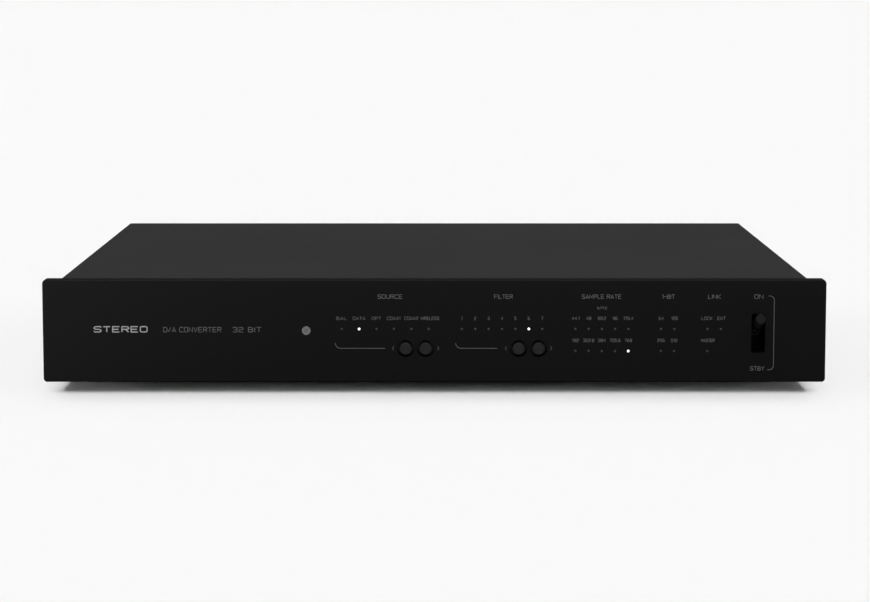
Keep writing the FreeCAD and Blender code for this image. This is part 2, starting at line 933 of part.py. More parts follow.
def feet():
    """Four turned feet with a rubber ring let into the underside of each."""
    pads = []
    for label, (x, y) in FEET.items():
        wall = d.foot_radius - d.foot_taper
        profile = [
            (d.foot_body_base, d.foot_head_bore),
            (d.foot_body_base, d.pad_inner - d.slip),
            (d.pad_height, d.pad_inner - d.slip),
            (d.pad_height, d.pad_outer + d.slip),
            (d.foot_body_base, d.pad_outer + d.slip),
            (d.foot_body_base, wall),
            (d.tray_base, d.foot_radius),
            (d.tray_base, d.foot_bore),
            (d.foot_head_seat, d.foot_bore),
            (d.foot_head_seat, d.foot_head_bore),
        ]
        keep(label, turned("Z", profile, x, y, 0))
        ring = [(0, d.pad_inner), (0, d.pad_outer), (d.pad_height, d.pad_outer), (d.pad_height, d.pad_inner)]
        pads.append(turned("Z", ring, x, y, 0))
    keep("foot_pads", together(pads))


# The shape of a pan head, as fractions of its height or radius.
PAN_SHOULDER = 0.45
PAN_CROWN = 0.7
RECESS_REACH = 0.55
RECESS_WIDTH = 0.22
RECESS_DEPTH = 0.5


def pan_screw(length, shank, head, head_height):
    """A pan-head screw with a cross recess; its head stands up from z = 0 and its shank runs down."""
    body = turned(
        "Z",
        [
            (-length, 0),
            (-length, shank),
            (0, shank),
            (0, head),
            (head_height * PAN_SHOULDER, head),
            (head_height, head * PAN_CROWN),
            (head_height, 0),
        ],
    )
    recess = new_sketch(body, "XY_Plane", head_height)
    arm, slot = head * RECESS_REACH, head * RECESS_WIDTH / 2
    quarter = [(-arm, -slot), (-slot, -slot), (-slot, -arm)]
    cross = quarter + [(-u, v) for u, v in quarter[::-1]]
    outline(recess, cross + [(-u, -v) for u, v in cross])
    pocket(body, recess, head_height * RECESS_DEPTH)
    return body


# How a screw that was made head up is turned for its head to point another way.
HEAD_TO = {
    "+Z": Rotation(),
    "-Z": Rotation(Vector(1, 0, 0), 180),
    "+X": Rotation(Vector(0, 1, 0), 90),
    "-X": Rotation(Vector(0, 1, 0), -90),
    "+Y": Rotation(Vector(1, 0, 0), -90),
}


def upright(spots, y):
    """(x, z) places on an upright plate, as points at a depth."""
    return [(x, y, z) for x, z in spots]


def flat(spots, z):
    """(x, y) places on a level plate, as points at a height."""
    return [(x, y, z) for x, y in spots]


def fasteners():
    """Every screw and post, each kind as one group of identical pieces."""
    screw = pan_screw(d.screw_length, d.screw_shank, d.screw_head, d.screw_head_height)
    half = d.case_width / 2
    case = []
    for side, head in ((-half, "-X"), (half, "+X")):
        case += copies(screw, [(side, y, d.side_screw_height) for y in SIDE_SCREWS], HEAD_TO[head])
    case += copies(screw, upright(LIP_SCREWS, rear), HEAD_TO["+Y"])
    case += copies(screw, flat(UNDER_SCREWS, d.tray_base), HEAD_TO["-Z"])
    keep("case_screws", together(case))
    panel = upright(PANEL_SCREWS, frame_face) + upright(BRACKET_SCREWS, frame_face + d.sheet)
    keep("front_panel_screws", together(copies(screw, panel, HEAD_TO["+Y"])))
    flanges = [spot for x in SHELL_PLACES for spot in flange_screws(x)] + INLET_SCREWS
    keep("connector_screws", together(copies(screw, upright(flanges, flange_face), HEAD_TO["+Y"])))
    boards = copies(screw, flat(MAIN_POSTS + POWER_POSTS, board_top))
    boards += copies(screw, upright(DISPLAY_POSTS, display_back), HEAD_TO["+Y"])
    keep("board_screws", together(boards))
    foot_screw = pan_screw(d.foot_screw_length, d.foot_screw_shank, d.foot_screw_head, d.foot_screw_height)
    keep("foot_screws", together(copies(foot_screw, flat(FEET.values(), d.foot_head_seat), HEAD_TO["-Z"])))
    post = turned(
        "Z",
        [
            (-d.sheet, 0),
            (-d.sheet, d.standoff_spigot),
            (0, d.standoff_spigot),
            (0, d.standoff_radius),
            (d.standoff_length, d.standoff_radius),
            (d.standoff_length, d.screw_tapped),
            (d.standoff_blind, d.screw_tapped),
            (d.standoff_blind, 0),
        ],
    )
    posts = copies(post, flat(MAIN_POSTS + POWER_POSTS, tray_floor))
    posts += copies(post, upright(DISPLAY_POSTS, frame_face), HEAD_TO["+Y"])
    keep("board_standoffs", together(posts))


# ---------------------------------------------------------------- front controls


def buttons():
    """Four push buttons: a round cap, a flange that stops behind the panel, and a stem to the switch."""
    tact_face = display_face - d.tact_depth
    tip = front - d.button_proud
    flange = panel_back + d.fit
    stem_end = tact_face + d.button_stem_entry
    switches = []
    for label, x in BUTTONS.items():
        profile = [
            (tip, 0),
            (tip, d.button_radius),
            (flange, d.button_radius),
            (flange, d.button_flange),
            (flange + d.button_flange_thickness, d.button_flange),
            (flange + d.button_flange_thickness, d.button_stem),
            (stem_end, d.button_stem),
            (stem_end, 0),
        ]
        body = keep(label, turned("Y", profile, x, 0, button_level))
        dress(body, "Fillet", in_plane("Y", tip), d.button_edge_round)
        housing = block(x, button_level, d.tact_width, d.tact_width, tact_face, display_face)
        bore = cylinder("Y", d.tact_bore, d.tact_bore_depth, x, tact_face, button_level)
        switches.append(cut(housing, bore))
    keep("tactile_switches", together(switches))


def light_guides():
    """One clear moulding per group of indicators: a plate with a rod to each hole and two legs."""
    lamps = []
    plate = panel_back + d.sheet_gap
    lamp_face = display_face - d.lamp_depth
    rod_start = front + d.guide_recess
    rod_length = lamp_face - d.lamp_gap - rod_start
    for label, spots in GUIDES.items():
        places = sorted((x for x, _ in spots), key=lambda x: x.value)
        levels = [z for _, z in spots]
        left, right = places[0] - d.guide_margin, places[-1] + d.guide_margin
        low, high = levels[-1] - d.guide_rim, levels[0] + d.guide_rim
        solids = [box((left, right), (plate, plate + d.guide_plate), (low, high))]
        leg_base = low + d.guide_leg_rise
        for x in (left, right - d.guide_leg):
            heights = (leg_base, leg_base + d.guide_leg_height)
            solids.append(box((x, x + d.guide_leg), (plate, display_face), heights))
        for x, z in spots:
            solids.append(cylinder("Y", d.guide_radius, rod_length, x, rod_start, z))
            lamps.append(block(x, z, d.lamp_width, d.lamp_height, lamp_face, display_face))
        keep(label, fuse(*solids))
    keep("indicator_lamps", together(lamps))


def remote_window():
    """The round window for the remote control, and the receiver module behind it."""
    x, z = d.window_place, window_level
    face = front - d.window_proud
    profile = [
        (face, 0),
        (face, d.window_radius - d.window_bevel),
        (face + d.window_bevel, d.window_radius),
        (panel_back, d.window_radius),
        (panel_back, d.window_radius + d.window_flange),
        (panel_back + d.window_flange, d.window_radius + d.window_flange),
        (panel_back + d.window_flange, 0),
    ]
    keep("remote_window", turned("Y", profile, x, 0, z))
    middle = z - d.receiver_drop + d.receiver_height / 2
    body_face = display_face - d.receiver_depth
    body = block(x, middle, d.receiver_width, d.receiver_height, body_face, display_face)
    lens_face = body_face - d.receiver_lens_depth
    lens = cylinder("Y", d.receiver_lens, d.receiver_lens_depth + d.slip, x, lens_face, z)
    keep("remote_receiver", fuse(body, lens))


def display_board():
    """The upright board that carries the lamps, the switches and the receiver."""
    body = keep("display_board", new_body(0, display_back, 0))
    sketch = new_sketch(body, "XZ_Plane")
    width = d.display_right - d.display_left
    rectangle(sketch, d.display_left + width / 2, d.display_middle, width, d.display_height)
    pad(body, sketch, d.board)
    drilled(body, "XZ_Plane", DISPLAY_POSTS, d.screw_clear, d.board * 4, both_ways=True)


def standby_lever():
    """The standby toggle switch on its bracket, with its lever and the grip that fits over it."""
    x, z = d.lever_place, lever_level
    bushing_face = pivot - d.bushing_lead
    web_back = bushing_face + d.bushing_length
    web = web_back - d.sheet
    inner, outer = d.bracket_inner, d.bracket_outer
    bracket = keep("switch_bracket", new_body(x, 0, z))
    profile = new_sketch(bracket, "YZ_Plane")
    upper = [
        (frame_face, outer),
        (frame_face + d.sheet, outer),
        (frame_face + d.sheet, inner + d.sheet),
        (web_back, inner + d.sheet),
    ]
    inside = [(web, inner), (frame_face, inner)]
    lower = [(y, -level) for y, level in upper[::-1]]
    outline(profile, upper + lower + [(y, -level) for y, level in inside[::-1]] + inside)
    pad(bracket, profile, d.bracket_width, both_ways=True)
    drilled(bracket, "XZ_Plane", [(0, 0)], d.bushing_radius + d.fit, d.body_depth * 2, both_ways=True)
    screws = [(0, d.bracket_screw), (0, -d.bracket_screw)]
    drilled(bracket, "XZ_Plane", screws, d.screw_clear, d.body_depth * 2, both_ways=True)

    toggle_back = web_back + d.toggle_depth
    pin_end = toggle_back + d.pin_length
    pins = [
        block(x, z + d.pin_pitch * i, d.pin_width, d.pin_thickness, toggle_back - 1, pin_end)
        for i in (-1, 0, 1)
    ]
    housing = block(x, z, d.toggle_width, d.toggle_height, web_back, toggle_back)
    bushing = cylinder("Y", d.bushing_radius, d.bushing_length, x, bushing_face, z)
    bore = cylinder("Y", d.bushing_bore, d.bushing_length + d.bore_overrun, x, bushing_face - 1, z)
    keep("standby_switch", cut(fuse(housing, bushing, *pins), bore))

    nut = keep("switch_nut", new_body(x, web, z))
    hexagon = new_sketch(nut, "XZ_Plane")
    turns = [size(60 * i) for i in range(6)]
    outline(hexagon, [(d.nut_radius * cosine(turn), d.nut_radius * sine(turn)) for turn in turns])
    pad(nut, hexagon, d.nut_thickness)
    drilled(nut, "XZ_Plane", [(0, 0)], d.bushing_radius + d.fit, d.nut_thickness * 4, both_ways=True)

    tip = (d.lever_reach + d.lever_pivot_depth - d.grip_radius * sine(d.lever_tilt)) / cosine(d.lever_tilt)
    tilt = Rotation(Vector(-1, 0, 0), d.lever_tilt.value)
    arm_end = d.grip_start + d.arm_in_grip
    shaft = turned("Y", [(-arm_end, 0), (-arm_end, d.lever_arm), (-1, d.lever_arm), (-1, 0)])
    ball = doc.addObject("Part::Sphere", "Ball")
    bind(ball, "Radius", d.lever_ball)
    tail = cylinder("Y", d.lever_tail, d.lever_tail_length, 0, 0, 0)
    keep("switch_lever", place(fuse(shaft, ball, tail), x, pivot, z, tilt))

    bore_radius, bore_end = d.lever_arm + d.fit / 2, -arm_end - d.sheet_gap
    profile = [
        (-tip, 0),
        (-tip, d.grip_radius),
        (-tip + d.grip_straight, d.grip_radius),
        (-d.grip_start, d.grip_root_radius),
        (-d.grip_start, bore_radius),
        (bore_end, bore_radius),
        (bore_end, 0),
    ]
    grip = keep("lever_grip", turned("Y", profile, x, pivot, z, tilt))
    dress(grip, "Fillet", in_plane("Y", -tip), d.grip_edge_round)


# ---------------------------------------------------------------- electronics

# Parts on the main board: (x, y) places, and the width, depth and height of each package.
CHIPS = (
    (grid((96, 150), (60,)), (10, 10, 1.6)),
    (((10, 40),), (20, 20, 1.6)),
    (((-50, 90),), (14, 14, 1.4)),
    (((-20, 90),), (8, 6, 1.5)),
    (grid((92, 108, 142, 158), (86, 98)), (6, 5, 1.6)),
    (grid((40,), (56, 72)), (11, 8, 2.5)),
)
RELAYS = (grid((78, 98, 138, 174), (124,)), (10, 20, 10))
SIGNAL_CANS = grid((84, 104, 132, 152, 172), (10, 26))
RESERVOIR_CANS = grid((-172, -148, -124), (52, 76))
FINS = 8


def flat_board(label, left, right, near, far, posts):
    """A level circuit board with a hole over each of its posts."""
    body = keep(label, new_body(0, 0, board_base))
    sketch = new_sketch(body, "XY_Plane")
    rectangle(sketch, (left + right) / 2, (near + far) / 2, right - left, far - near)
    pad(body, sketch, d.board)
    drilled(body, "XY_Plane", posts, d.screw_clear, d.board * 4, both_ways=True)


def packages(spots, extent):
    """A block of one size at each (x, y) place on the boards."""
    width, depth, height = extent
    return [
        box(
            (x - width / 2, x + width / 2),
            (y - depth / 2, y + depth / 2),
            (board_top, board_top + height),
        )
        for x, y in spots
    ]


def standing_cans(spots, radius, height):
    """Electrolytic capacitors standing on a board, each with a rolled groove near its foot."""
    groove, half_groove, dip = d.can_groove, d.can_groove_width / 2, d.can_groove_depth
    profile = [
        (0, 0),
        (0, radius),
        (groove - half_groove, radius),
        (groove, radius - dip),
        (groove + half_groove, radius),
        (height - d.can_shoulder, radius),
        (height, radius - d.can_shoulder),
        (height, 0),
    ]
    return [turned("Z", profile, x, y, board_top) for x, y in spots]


def main_electronics():
    """The converter board, with its chips, signal capacitors and muting relays."""
    flat_board("main_board", d.main_left, d.main_right, d.main_front, d.main_rear, MAIN_POSTS)
    keep("converter_chips", together([block for spots, extent in CHIPS for block in packages(spots, extent)]))
    keep("signal_capacitors", together(standing_cans(SIGNAL_CANS, d.signal_can, d.signal_can_height)))
    keep("muting_relays", together(packages(*RELAYS)))


def power_supply():
    """The supply board, with its reservoir capacitors and a finned heatsink."""
    flat_board("power_board", d.power_left, d.power_right, d.power_front, d.power_rear, POWER_POSTS)
    cans = standing_cans(RESERVOIR_CANS, d.reservoir_can, d.reservoir_can_height)
    keep("reservoir_capacitors", together(cans))
    heatsink = keep("regulator_heatsink", new_body(d.heatsink_left, d.heatsink_front, board_top))
    profile = new_sketch(heatsink, "XY_Plane")
    teeth = []
    for i in range(FINS):
        left = d.fin_pitch * i
        right = left + d.fin
        teeth += [(left, d.heatsink_web), (left, d.fin_reach), (right, d.fin_reach), (right, d.heatsink_web)]
    outline(profile, teeth + [(right, 0), (0, 0)])
    pad(heatsink, profile, d.heatsink_height)


def transformer():
    """The toroidal transformer, the dished washer that clamps it, and its bolt and nut."""
    base = tray_floor + d.coil_lift
    top = base + d.coil_height
    bore = d.coil_bolt + d.slip

    def on_axis(profile):
        return turned("Z", profile, d.coil_place, d.coil_depth, 0)

    coil = keep(
        "toroidal_transformer",
        on_axis([(base, d.coil_bore), (base, d.coil_radius), (top, d.coil_radius), (top, d.coil_bore)]),
    )
    dress(coil, "Fillet", lambda edge: edge.Curve.TypeId == "Part::GeomCircle", d.coil_round)
    cushion = [(tray_floor, bore), (tray_floor, d.cushion_radius), (base, d.cushion_radius), (base, bore)]
    keep("transformer_pad", on_axis(cushion))
    sunk = top - d.dish_depth
    dish = [
        (sunk, bore),
        (sunk, d.dish_floor),
        (top, d.dish_shoulder),
        (top, d.dish_radius),
        (top + d.dish_sheet, d.dish_radius),
        (top + d.dish_sheet, d.dish_shoulder - d.dish_draft),
        (sunk + d.dish_sheet, d.dish_floor - d.dish_draft),
        (sunk + d.dish_sheet, bore),
    ]
    keep("transformer_washer", on_axis(dish))
    nut_base = sunk + d.dish_sheet
    nut_top = nut_base + d.coil_nut_height
    bolt = on_axis(
        [
            (d.tray_base - d.bolt_head_height, 0),
            (d.tray_base - d.bolt_head_height, d.bolt_head - d.bolt_head_draft),
            (d.tray_base, d.bolt_head),
            (d.tray_base, d.coil_bolt),
            (nut_top + d.bolt_end, d.coil_bolt),
            (nut_top + d.bolt_end, 0),
        ]
    )
    thread = d.coil_bolt + d.fit
    nut = on_axis([(nut_base, thread), (nut_base, d.bolt_head), (nut_top, d.bolt_head), (nut_top, thread)])
    keep("transformer_bolt", together([bolt, nut]))


# ---------------------------------------------------------------- rear connectors

# The contacts of a three-pin signal plug and of a mains plug, from the middle of each.
SIGNAL_PINS = ((-3.8, 1.3), (3.8, 1.3), (0, -4))
MAINS_BLADES = ((-7, -1.5), (0, 2.5), (7, -1.5))


def mains_inlet():
    """The mains inlet with its three blades, and the fuse drawer that slides out below them."""
    x, z = d.inlet_place, connector_level
    deep = rear_face - d.inlet_depth
    socket_level, drawer_level = z + d.inlet_socket_rise, z - d.drawer_drop
    body = fuse(
        block(x, z, d.inlet_flange_width, d.inlet_flange_height, rear_face, flange_face),
        block(x, z, d.inlet_width, d.inlet_height, deep, flange_face),
    )
    beyond = flange_face + 1
    socket = block(
        x, socket_level, d.inlet_mouth_width, d.inlet_mouth_height, flange_face - d.inlet_mouth_depth, beyond
    )
    gap = d.sheet_gap * 2
    drawer_end = flange_face - d.drawer_depth
    drawer_hole = block(
        x, drawer_level, d.drawer_width + gap, d.drawer_height + gap, drawer_end - gap, beyond
    )
    holes = [cylinder("Y", d.screw_clear, d.flange_plate * 2, u, rear_face - 1, v) for u, v in INLET_SCREWS]
    shell = cut(body, socket, drawer_hole, *holes)
    blades = [
        block(
            x + u, socket_level + v, d.blade_width, d.blade_height, deep - d.tail_length,
            flange_face - d.blade_recess,
        )
        for u, v in MAINS_BLADES
    ]
    keep("mains_inlet", fuse(shell, *blades))
    seat = flange_face - d.drawer_face
    face = block(x, drawer_level, d.drawer_width, d.drawer_height, seat, flange_face + d.drawer_proud)
    tray = block(x, drawer_level, d.drawer_width - gap * 2, d.drawer_height - gap, drawer_end, seat)
    wall = d.drawer_wall
    trough = box(
        (x - d.drawer_width / 2 + gap + wall, x + d.drawer_width / 2 - gap - wall),
        (drawer_end + wall, seat - wall),
        (drawer_level - (d.drawer_height - gap) / 2 + wall, drawer_level + d.drawer_height / 2),
    )
    keep("fuse_drawer", cut(fuse(face, tray), trough))


def mains_switch():
    """The rocker switch: its housing, and the rocker on its two trunnions."""
    x, z = d.rocker_place, connector_level
    axle = rear_face - d.rocker_axle_depth
    back = rear_face - d.switch_depth
    tabs = [
        block(x, z + d.switch_tab_pitch / 2 * s, d.switch_tab, d.pin_thickness, back - d.tail_length, back)
        for s in (-1, 1)
    ]
    rim = d.switch_rim * 2
    housing = fuse(
        block(x, z, d.switch_width + rim, d.switch_height + rim, rear_face, flange_face),
        block(x, z, d.switch_width, d.switch_height, back, flange_face),
        *tabs,
    )
    cavity = block(
        x, z, d.rocker_width + d.rocker_gap * 2, d.rocker_well_height, rear_face - d.rocker_well_depth,
        flange_face + 1,
    )
    reach = d.trunnion_length / 2
    bearing = cylinder(
        "X", d.trunnion + d.trunnion_gap, d.trunnion_length + d.slip * 2, x - reach - d.slip, axle, z
    )
    keep("mains_switch", cut(housing, cavity, bearing))
    rocker = new_body()
    profile = new_sketch(rocker, "YZ_Plane")
    half = [
        (d.rocker_dip, 0),
        (d.rocker_end, d.rocker_reach),
        (-d.rocker_skirt, d.rocker_skirt_reach),
        (-d.rocker_heel, d.rocker_heel_reach),
    ]
    outline(profile, half + [(y, -level) for y, level in half[:0:-1]])
    pad(rocker, profile, d.rocker_width, both_ways=True)
    trunnion = cylinder("X", d.trunnion, d.trunnion_length, -reach, 0, 0)
    tilt = Rotation(Vector(1, 0, 0), d.rocker_tilt.value)
    keep("mains_rocker", place(fuse(rocker, trunnion), x, axle, z, tilt))


def antenna_socket():
    """The threaded aerial socket: a turned shell round a hollow centre contact."""
    face = rear_face
    shell, mouth = d.antenna_shell, d.antenna_mouth
    end = face + d.antenna_reach
    profile = [
        (face - d.antenna_tail, d.antenna_core_shell),
        (face - d.antenna_tail, d.antenna_shank),
        (face, d.antenna_shank),
        (face, d.antenna_nut),
        (face + d.antenna_nut_height, d.antenna_nut),
        (face + d.antenna_nut_height, shell),
        (end, shell),
        (end, mouth),
        (end - d.antenna_mouth_depth, mouth),
        (end - d.antenna_mouth_depth, d.antenna_contact),
        (end - 1, d.antenna_contact),
        (end - 1, d.antenna_contact_bore),
        (face - d.antenna_tail / 2, d.antenna_contact_bore),
        (face - d.antenna_tail / 2, d.antenna_core_shell),
    ]
    keep("antenna_socket", turned("Y", profile, d.antenna_place, 0, connector_level))


def computer_socket():
    """The square data socket for a computer, with the tongue that carries its contacts."""
    x, z = d.data_place, connector_level
    out = rear_face + 1
    shell = block(x, z, d.data_width, d.data_height, rear_face - d.data_depth, out)
    mouth = block(x, z, d.data_mouth_width, d.data_mouth_height, rear_face - d.data_mouth_depth, out + 1)
    start = rear_face - d.data_mouth_depth - 1
    tongue = block(x, z, d.data_tongue_width, d.data_tongue_height, start, rear_face - d.data_tongue_recess)
    keep("computer_socket", fuse(cut(shell, mouth), tongue))


def optical_socket():
    """The optical input and the sprung shutter that hangs inside its mouth."""
    x, z = d.optical_place, connector_level
    face = rear_face + d.optical_bezel
    bezel = block(x, z, d.bezel_width, d.bezel_width, rear_face, face)
    body = block(x, z, d.optical_width, d.optical_width, rear_face - d.optical_depth, face)
    mouth = d.optical_mouth
    cavity = block(x, z, mouth, mouth, rear_face - d.optical_mouth_depth, face + 1)
    hinge_y, hinge_z = face - d.shutter_depth, z + d.shutter_rise
    reach = d.shutter_axle_length / 2
    bearing = cylinder(
        "X", d.shutter_axle + d.fit / 2, d.shutter_axle_length + d.slip, x - reach - d.fit, hinge_y, hinge_z
    )
    keep("optical_socket", cut(fuse(bezel, body), cavity, bearing))
    half, thick = d.shutter_width / 2, d.shutter_sheet / 2
    flap = fuse(
        box((x - half, x + half), (hinge_y - thick, hinge_y + thick), (z - half, hinge_z)),
        cylinder("X", d.shutter_barrel, d.shutter_width, x - half, hinge_y, hinge_z),
        cylinder("X", d.shutter_axle, d.shutter_axle_length, x - reach, hinge_y, hinge_z),
    )
    keep("optical_shutter", flap)


def phono_sockets():
    """The two digital inputs and the two line outputs: four turned sockets alike."""
    reach = rear + d.socket_reach
    collar_end = rear_face + d.phono_collar_length
    cup = reach - d.phono_cup_recess
    profile = [
        (rear_face - d.phono_tail_length, 0),
        (rear_face - d.phono_tail_length, d.phono_tail),
        (rear_face - d.phono_shank_length, d.phono_tail),
        (rear_face - d.phono_shank_length, d.phono_shank),
        (rear_face, d.phono_shank),
        (rear_face, d.phono_collar),
        (collar_end - d.phono_chamfer, d.phono_collar),
        (collar_end, d.phono_collar - d.phono_chamfer),
        (collar_end, d.phono_radius),
        (reach, d.phono_radius),
        (reach, d.phono_inner),
        (collar_end, d.phono_inner),
        (collar_end, d.phono_core),
        (cup, d.phono_core),
        (cup, d.phono_contact),
        (collar_end - d.phono_contact_depth, d.phono_contact),
        (collar_end - d.phono_contact_depth, 0),
    ]
    sockets = [turned("Y", profile, x, 0, connector_level) for x in PHONO_PLACES]
    keep("phono_sockets", together(sockets))


def square_flange(x):
    """The outer flange and inner barrel that every three-pin socket shares."""
    z = connector_level
    flange = block(x, z, d.square_flange_width, d.square_flange_height, rear_face, flange_face)
    barrel = cylinder("Y", d.shell_radius, d.shell_depth, x, rear_face - d.shell_depth, z)
    holes = [
        cylinder("Y", d.screw_clear, d.flange_plate * 3, u, rear_face - d.flange_plate, v)
        for u, v in flange_screws(x)
    ]
    return cut(fuse(flange, barrel), *holes)


def balanced_sockets():
    """Two three-pin output sockets with a deep well, and an input socket with its push latch."""
    z = connector_level
    floor = flange_face - d.shell_cavity
    outputs = []
    for x in OUTPUT_PLACES:
        well = cylinder("Y", d.shell_bore, d.shell_cavity + 1, x, floor, z)
        pins = [
            cylinder("Y", d.signal_pin, d.signal_pin_length, x + u, floor - d.signal_pin_tail, z + v)
            for u, v in SIGNAL_PINS
        ]
        outputs.append(fuse(cut(square_flange(x), well), *pins))
    keep("balanced_output_sockets", together(outputs))
    x = d.balanced_input_place
    recess = cylinder("Y", d.shell_bore, d.nose_recess + 1, x, flange_face - d.nose_recess, z)
    nose = cylinder("Y", d.nose_radius, d.nose_length, x, flange_face - d.nose_length + 1, z)
    slot_low, slot_high = z + d.latch_slot_low, z + d.latch_slot_high
    slot_half = d.latch_width / 2 + d.sheet_gap
    slot = box(
        (x - slot_half, x + slot_half),
        (rear_face - d.latch_slot_depth, flange_face + 1),
        (slot_low, slot_high),
    )
    holes = [
        cylinder("Y", d.signal_hole, d.signal_hole_depth + 2, x + u, flange_face - d.signal_hole_depth, z + v)
        for u, v in SIGNAL_PINS
    ]
    base = fuse(cut(square_flange(x), recess, slot), nose)
    keep("balanced_input_socket", cut(base, *holes))
    half = d.latch_width / 2
    tab = box(
        (x - half, x + half),
        (rear_face - d.latch_depth, flange_face + d.latch_proud),
        (slot_low + d.sheet_gap, slot_high - d.sheet_gap),
    )
    keep("input_latch", tab)


# ---------------------------------------------------------------- wiring

# How much of the shorter run a bend takes up.
BEND_SHARE = 0.45


def route_wire(points):
    """Straight runs joined by tangent arcs, each as large as the shorter of its two runs allows."""
    edges, start = [], points[0]
    for before, corner, after in zip(points, points[1:], points[2:]):
        back, ahead = (before - corner).normalize(), (after - corner).normalize()
        turn = math.pi - back.getAngle(ahead)
        reach = BEND_SHARE * min(before.distanceToPoint(corner), corner.distanceToPoint(after))
        radius = reach / math.tan(turn / 2)
        centre = corner + (back + ahead).normalize() * (radius / math.cos(turn / 2))
        entry, leave = corner + back * reach, corner + ahead * reach
        middle = centre + (corner - centre).normalize() * radius
        edges.append(Part.LineSegment(start, entry).toShape())
        edges.append(Part.Arc(entry, middle, leave).toShape())
        start = leave
    edges.append(Part.LineSegment(start, points[-1]).toShape())
    return Part.Wire(edges)


def swept(section, points):
    """A solid of one section carried along a route; the section is made at the route's start."""
    wire = route_wire(points)
    solid = wire.makePipeShell([section], True, False)
    expected = Part.Face(section).Area * wire.Length
    if abs(solid.Volume - expected) > 0.02 * expected:
        raise RuntimeError("a swept lead has the wrong volume")
    feature = doc.addObject("Part::Feature", "Lead")
    feature.Shape = solid
    return feature


def ribbon_cable():
    """The flat cable from the display board back to the main board, with a plug on each end."""
    x = d.ribbon_place.value
    level = board_top + d.ribbon_level
    start, end = display_back + d.ribbon_plug_depth, d.main_front + d.ribbon_plug_inset
    route = [
        (start, level),
        (start + 14, level),
        (start + 32, level + 9),
        (end - 36, level + 10),
        (end - 14, level),
        (end, level),
    ]
    points = [Vector(x, y.value, z.value) for y, z in route]
    half, rise = d.ribbon_width.value / 2, d.ribbon_thickness.value / 2
    corners = [points[0] + Vector(half * s, 0, rise * t) for s, t in ((-1, -1), (1, -1), (1, 1), (-1, 1))]
    ribbon = swept(Part.makePolygon(corners + corners[:1]), points)
    plug = (d.ribbon_place - d.ribbon_plug_width / 2, d.ribbon_place + d.ribbon_plug_width / 2)
    half_plug = d.ribbon_plug_height / 2
    near = box(plug, (display_back, start), (level - half_plug, level + half_plug))
    far = box(plug, (end, end + d.ribbon_socket_depth), (board_top, board_top + d.plug_height))
    keep("ribbon_cable", together([ribbon, near, far]))


def lead(points, radius):
    """A round insulated lead along a route of (x, y, z) points."""
    points = [Vector(*(size(c).value for c in point)) for point in points]
    direction = (points[1] - points[0]).normalize()
    section = Part.Wire([Part.Circle(points[0], direction, radius.value).toShape()])
    return swept(section, points)


def mains_lead():
    """From a blade of the inlet, in an arch, to the upper tab of the rocker switch."""
    tab_level = connector_level + d.switch_tab_pitch / 2
    blade_x = d.inlet_place + MAINS_BLADES[2][0]
    blade_level = connector_level + d.inlet_socket_rise + MAINS_BLADES[2][1]
    blade_back = rear_face - d.inlet_depth - d.tail_length
    tab_back = rear_face - d.switch_depth - d.tail_length
    return lead(
        [
            (blade_x, blade_back, blade_level),
            (blade_x, blade_back - 8, blade_level),
            (blade_x + 13, blade_back - 10, blade_level + 4),
            (d.rocker_place - 8, tab_back - 14, blade_level + 5),
            (d.rocker_place, tab_back - 9, tab_level),
            (d.rocker_place, tab_back, tab_level),
        ],
        d.mains_lead,
    )


def winding_lead(offset):
    """From the side of the coil, up and over, down into the supply board's terminal block."""
    x = d.coil_place + offset
    side = d.coil_depth + math.sqrt(d.coil_radius.value**2 - offset**2) + d.sheet_gap
    edge = d.coil_depth + d.coil_radius
    block_y = d.power_front + d.terminal_inset
    return lead(
        [
            (x, side, d.winding_level),
            (x, edge + 9, d.winding_level),
            (x + 2, edge + 18, d.winding_level + 7),
            (x + 4, block_y, d.winding_level + 6),
            (x + 4, block_y, board_top + d.terminal_height),
        ],
        d.winding_lead,
    )


def supply_feed():
    """The lead from the supply board to the main board, with its two plugs."""
    y, level = d.feed_place, board_top + d.feed_level
    start, end = d.power_right - d.feed_inset, d.main_left + d.feed_plug + d.feed_inset
    feed = lead(
        [
            (start, y, level),
            (start + 6, y, level),
            (start + 11, y + 6, level + 6),
            (end - 7, y + 10, level),
            (end, y + 10, level),
        ],
        d.feed_lead,
    )
    half, top = d.feed_plug_width / 2, board_top + d.plug_height
    near = box((start - d.feed_plug, start), (y - half, y + half), (board_top, top))
    far = box((end, end + d.feed_plug), (y + 10 - half, y + 10 + half), (board_top, top))
    return [feed, near, far]


def internal_leads():
    """The mains lead, the transformer's four leads and their terminal block, and the supply feed."""
    block_y = d.power_front + d.terminal_inset
    terminals = box(
        (d.coil_place - d.terminal_left, d.coil_place + d.terminal_right),
        (block_y - d.terminal_depth / 2, block_y + d.terminal_depth / 2),
        (board_top, board_top + d.terminal_height),
    )
    windings = [winding_lead(offset) for offset in (-9, -3, 3, 9)]
    keep("internal_leads", together([mains_lead(), *windings, terminals, *supply_feed()]))


# ---------------------------------------------------------------- build and export


def export_all():
    """Checks every object and sub-part, then writes one STEP file for each sub-part."""
    doc.recompute()
    for obj in doc.Objects:
        if {"Invalid", "Error"} & set(obj.State):
            raise RuntimeError(f"{obj.Name} of {obj.Label} failed: {obj.State}")
    os.makedirs("parts", exist_ok=True)
    for label, obj in pieces.items():
        shape = obj.Shape
        if shape.isNull() or not shape.isValid() or not shape.Solids:
            raise RuntimeError(f"{label} has no valid solid")
        shape.exportStep(f"parts/{label}.step")
    print(len(pieces), "sub-parts")


front_panel()
front_subframe()
base_tray()
top_cover()
rear_panel()
feet()
fasteners()
buttons()
light_guides()
remote_window()
display_board()
standby_lever()
main_electronics()
power_supply()
transformer()
mains_inlet()
mains_switch()
antenna_socket()
computer_socket()
optical_socket()
phono_sockets()
balanced_sockets()
ribbon_cable()
internal_leads()
export_all()
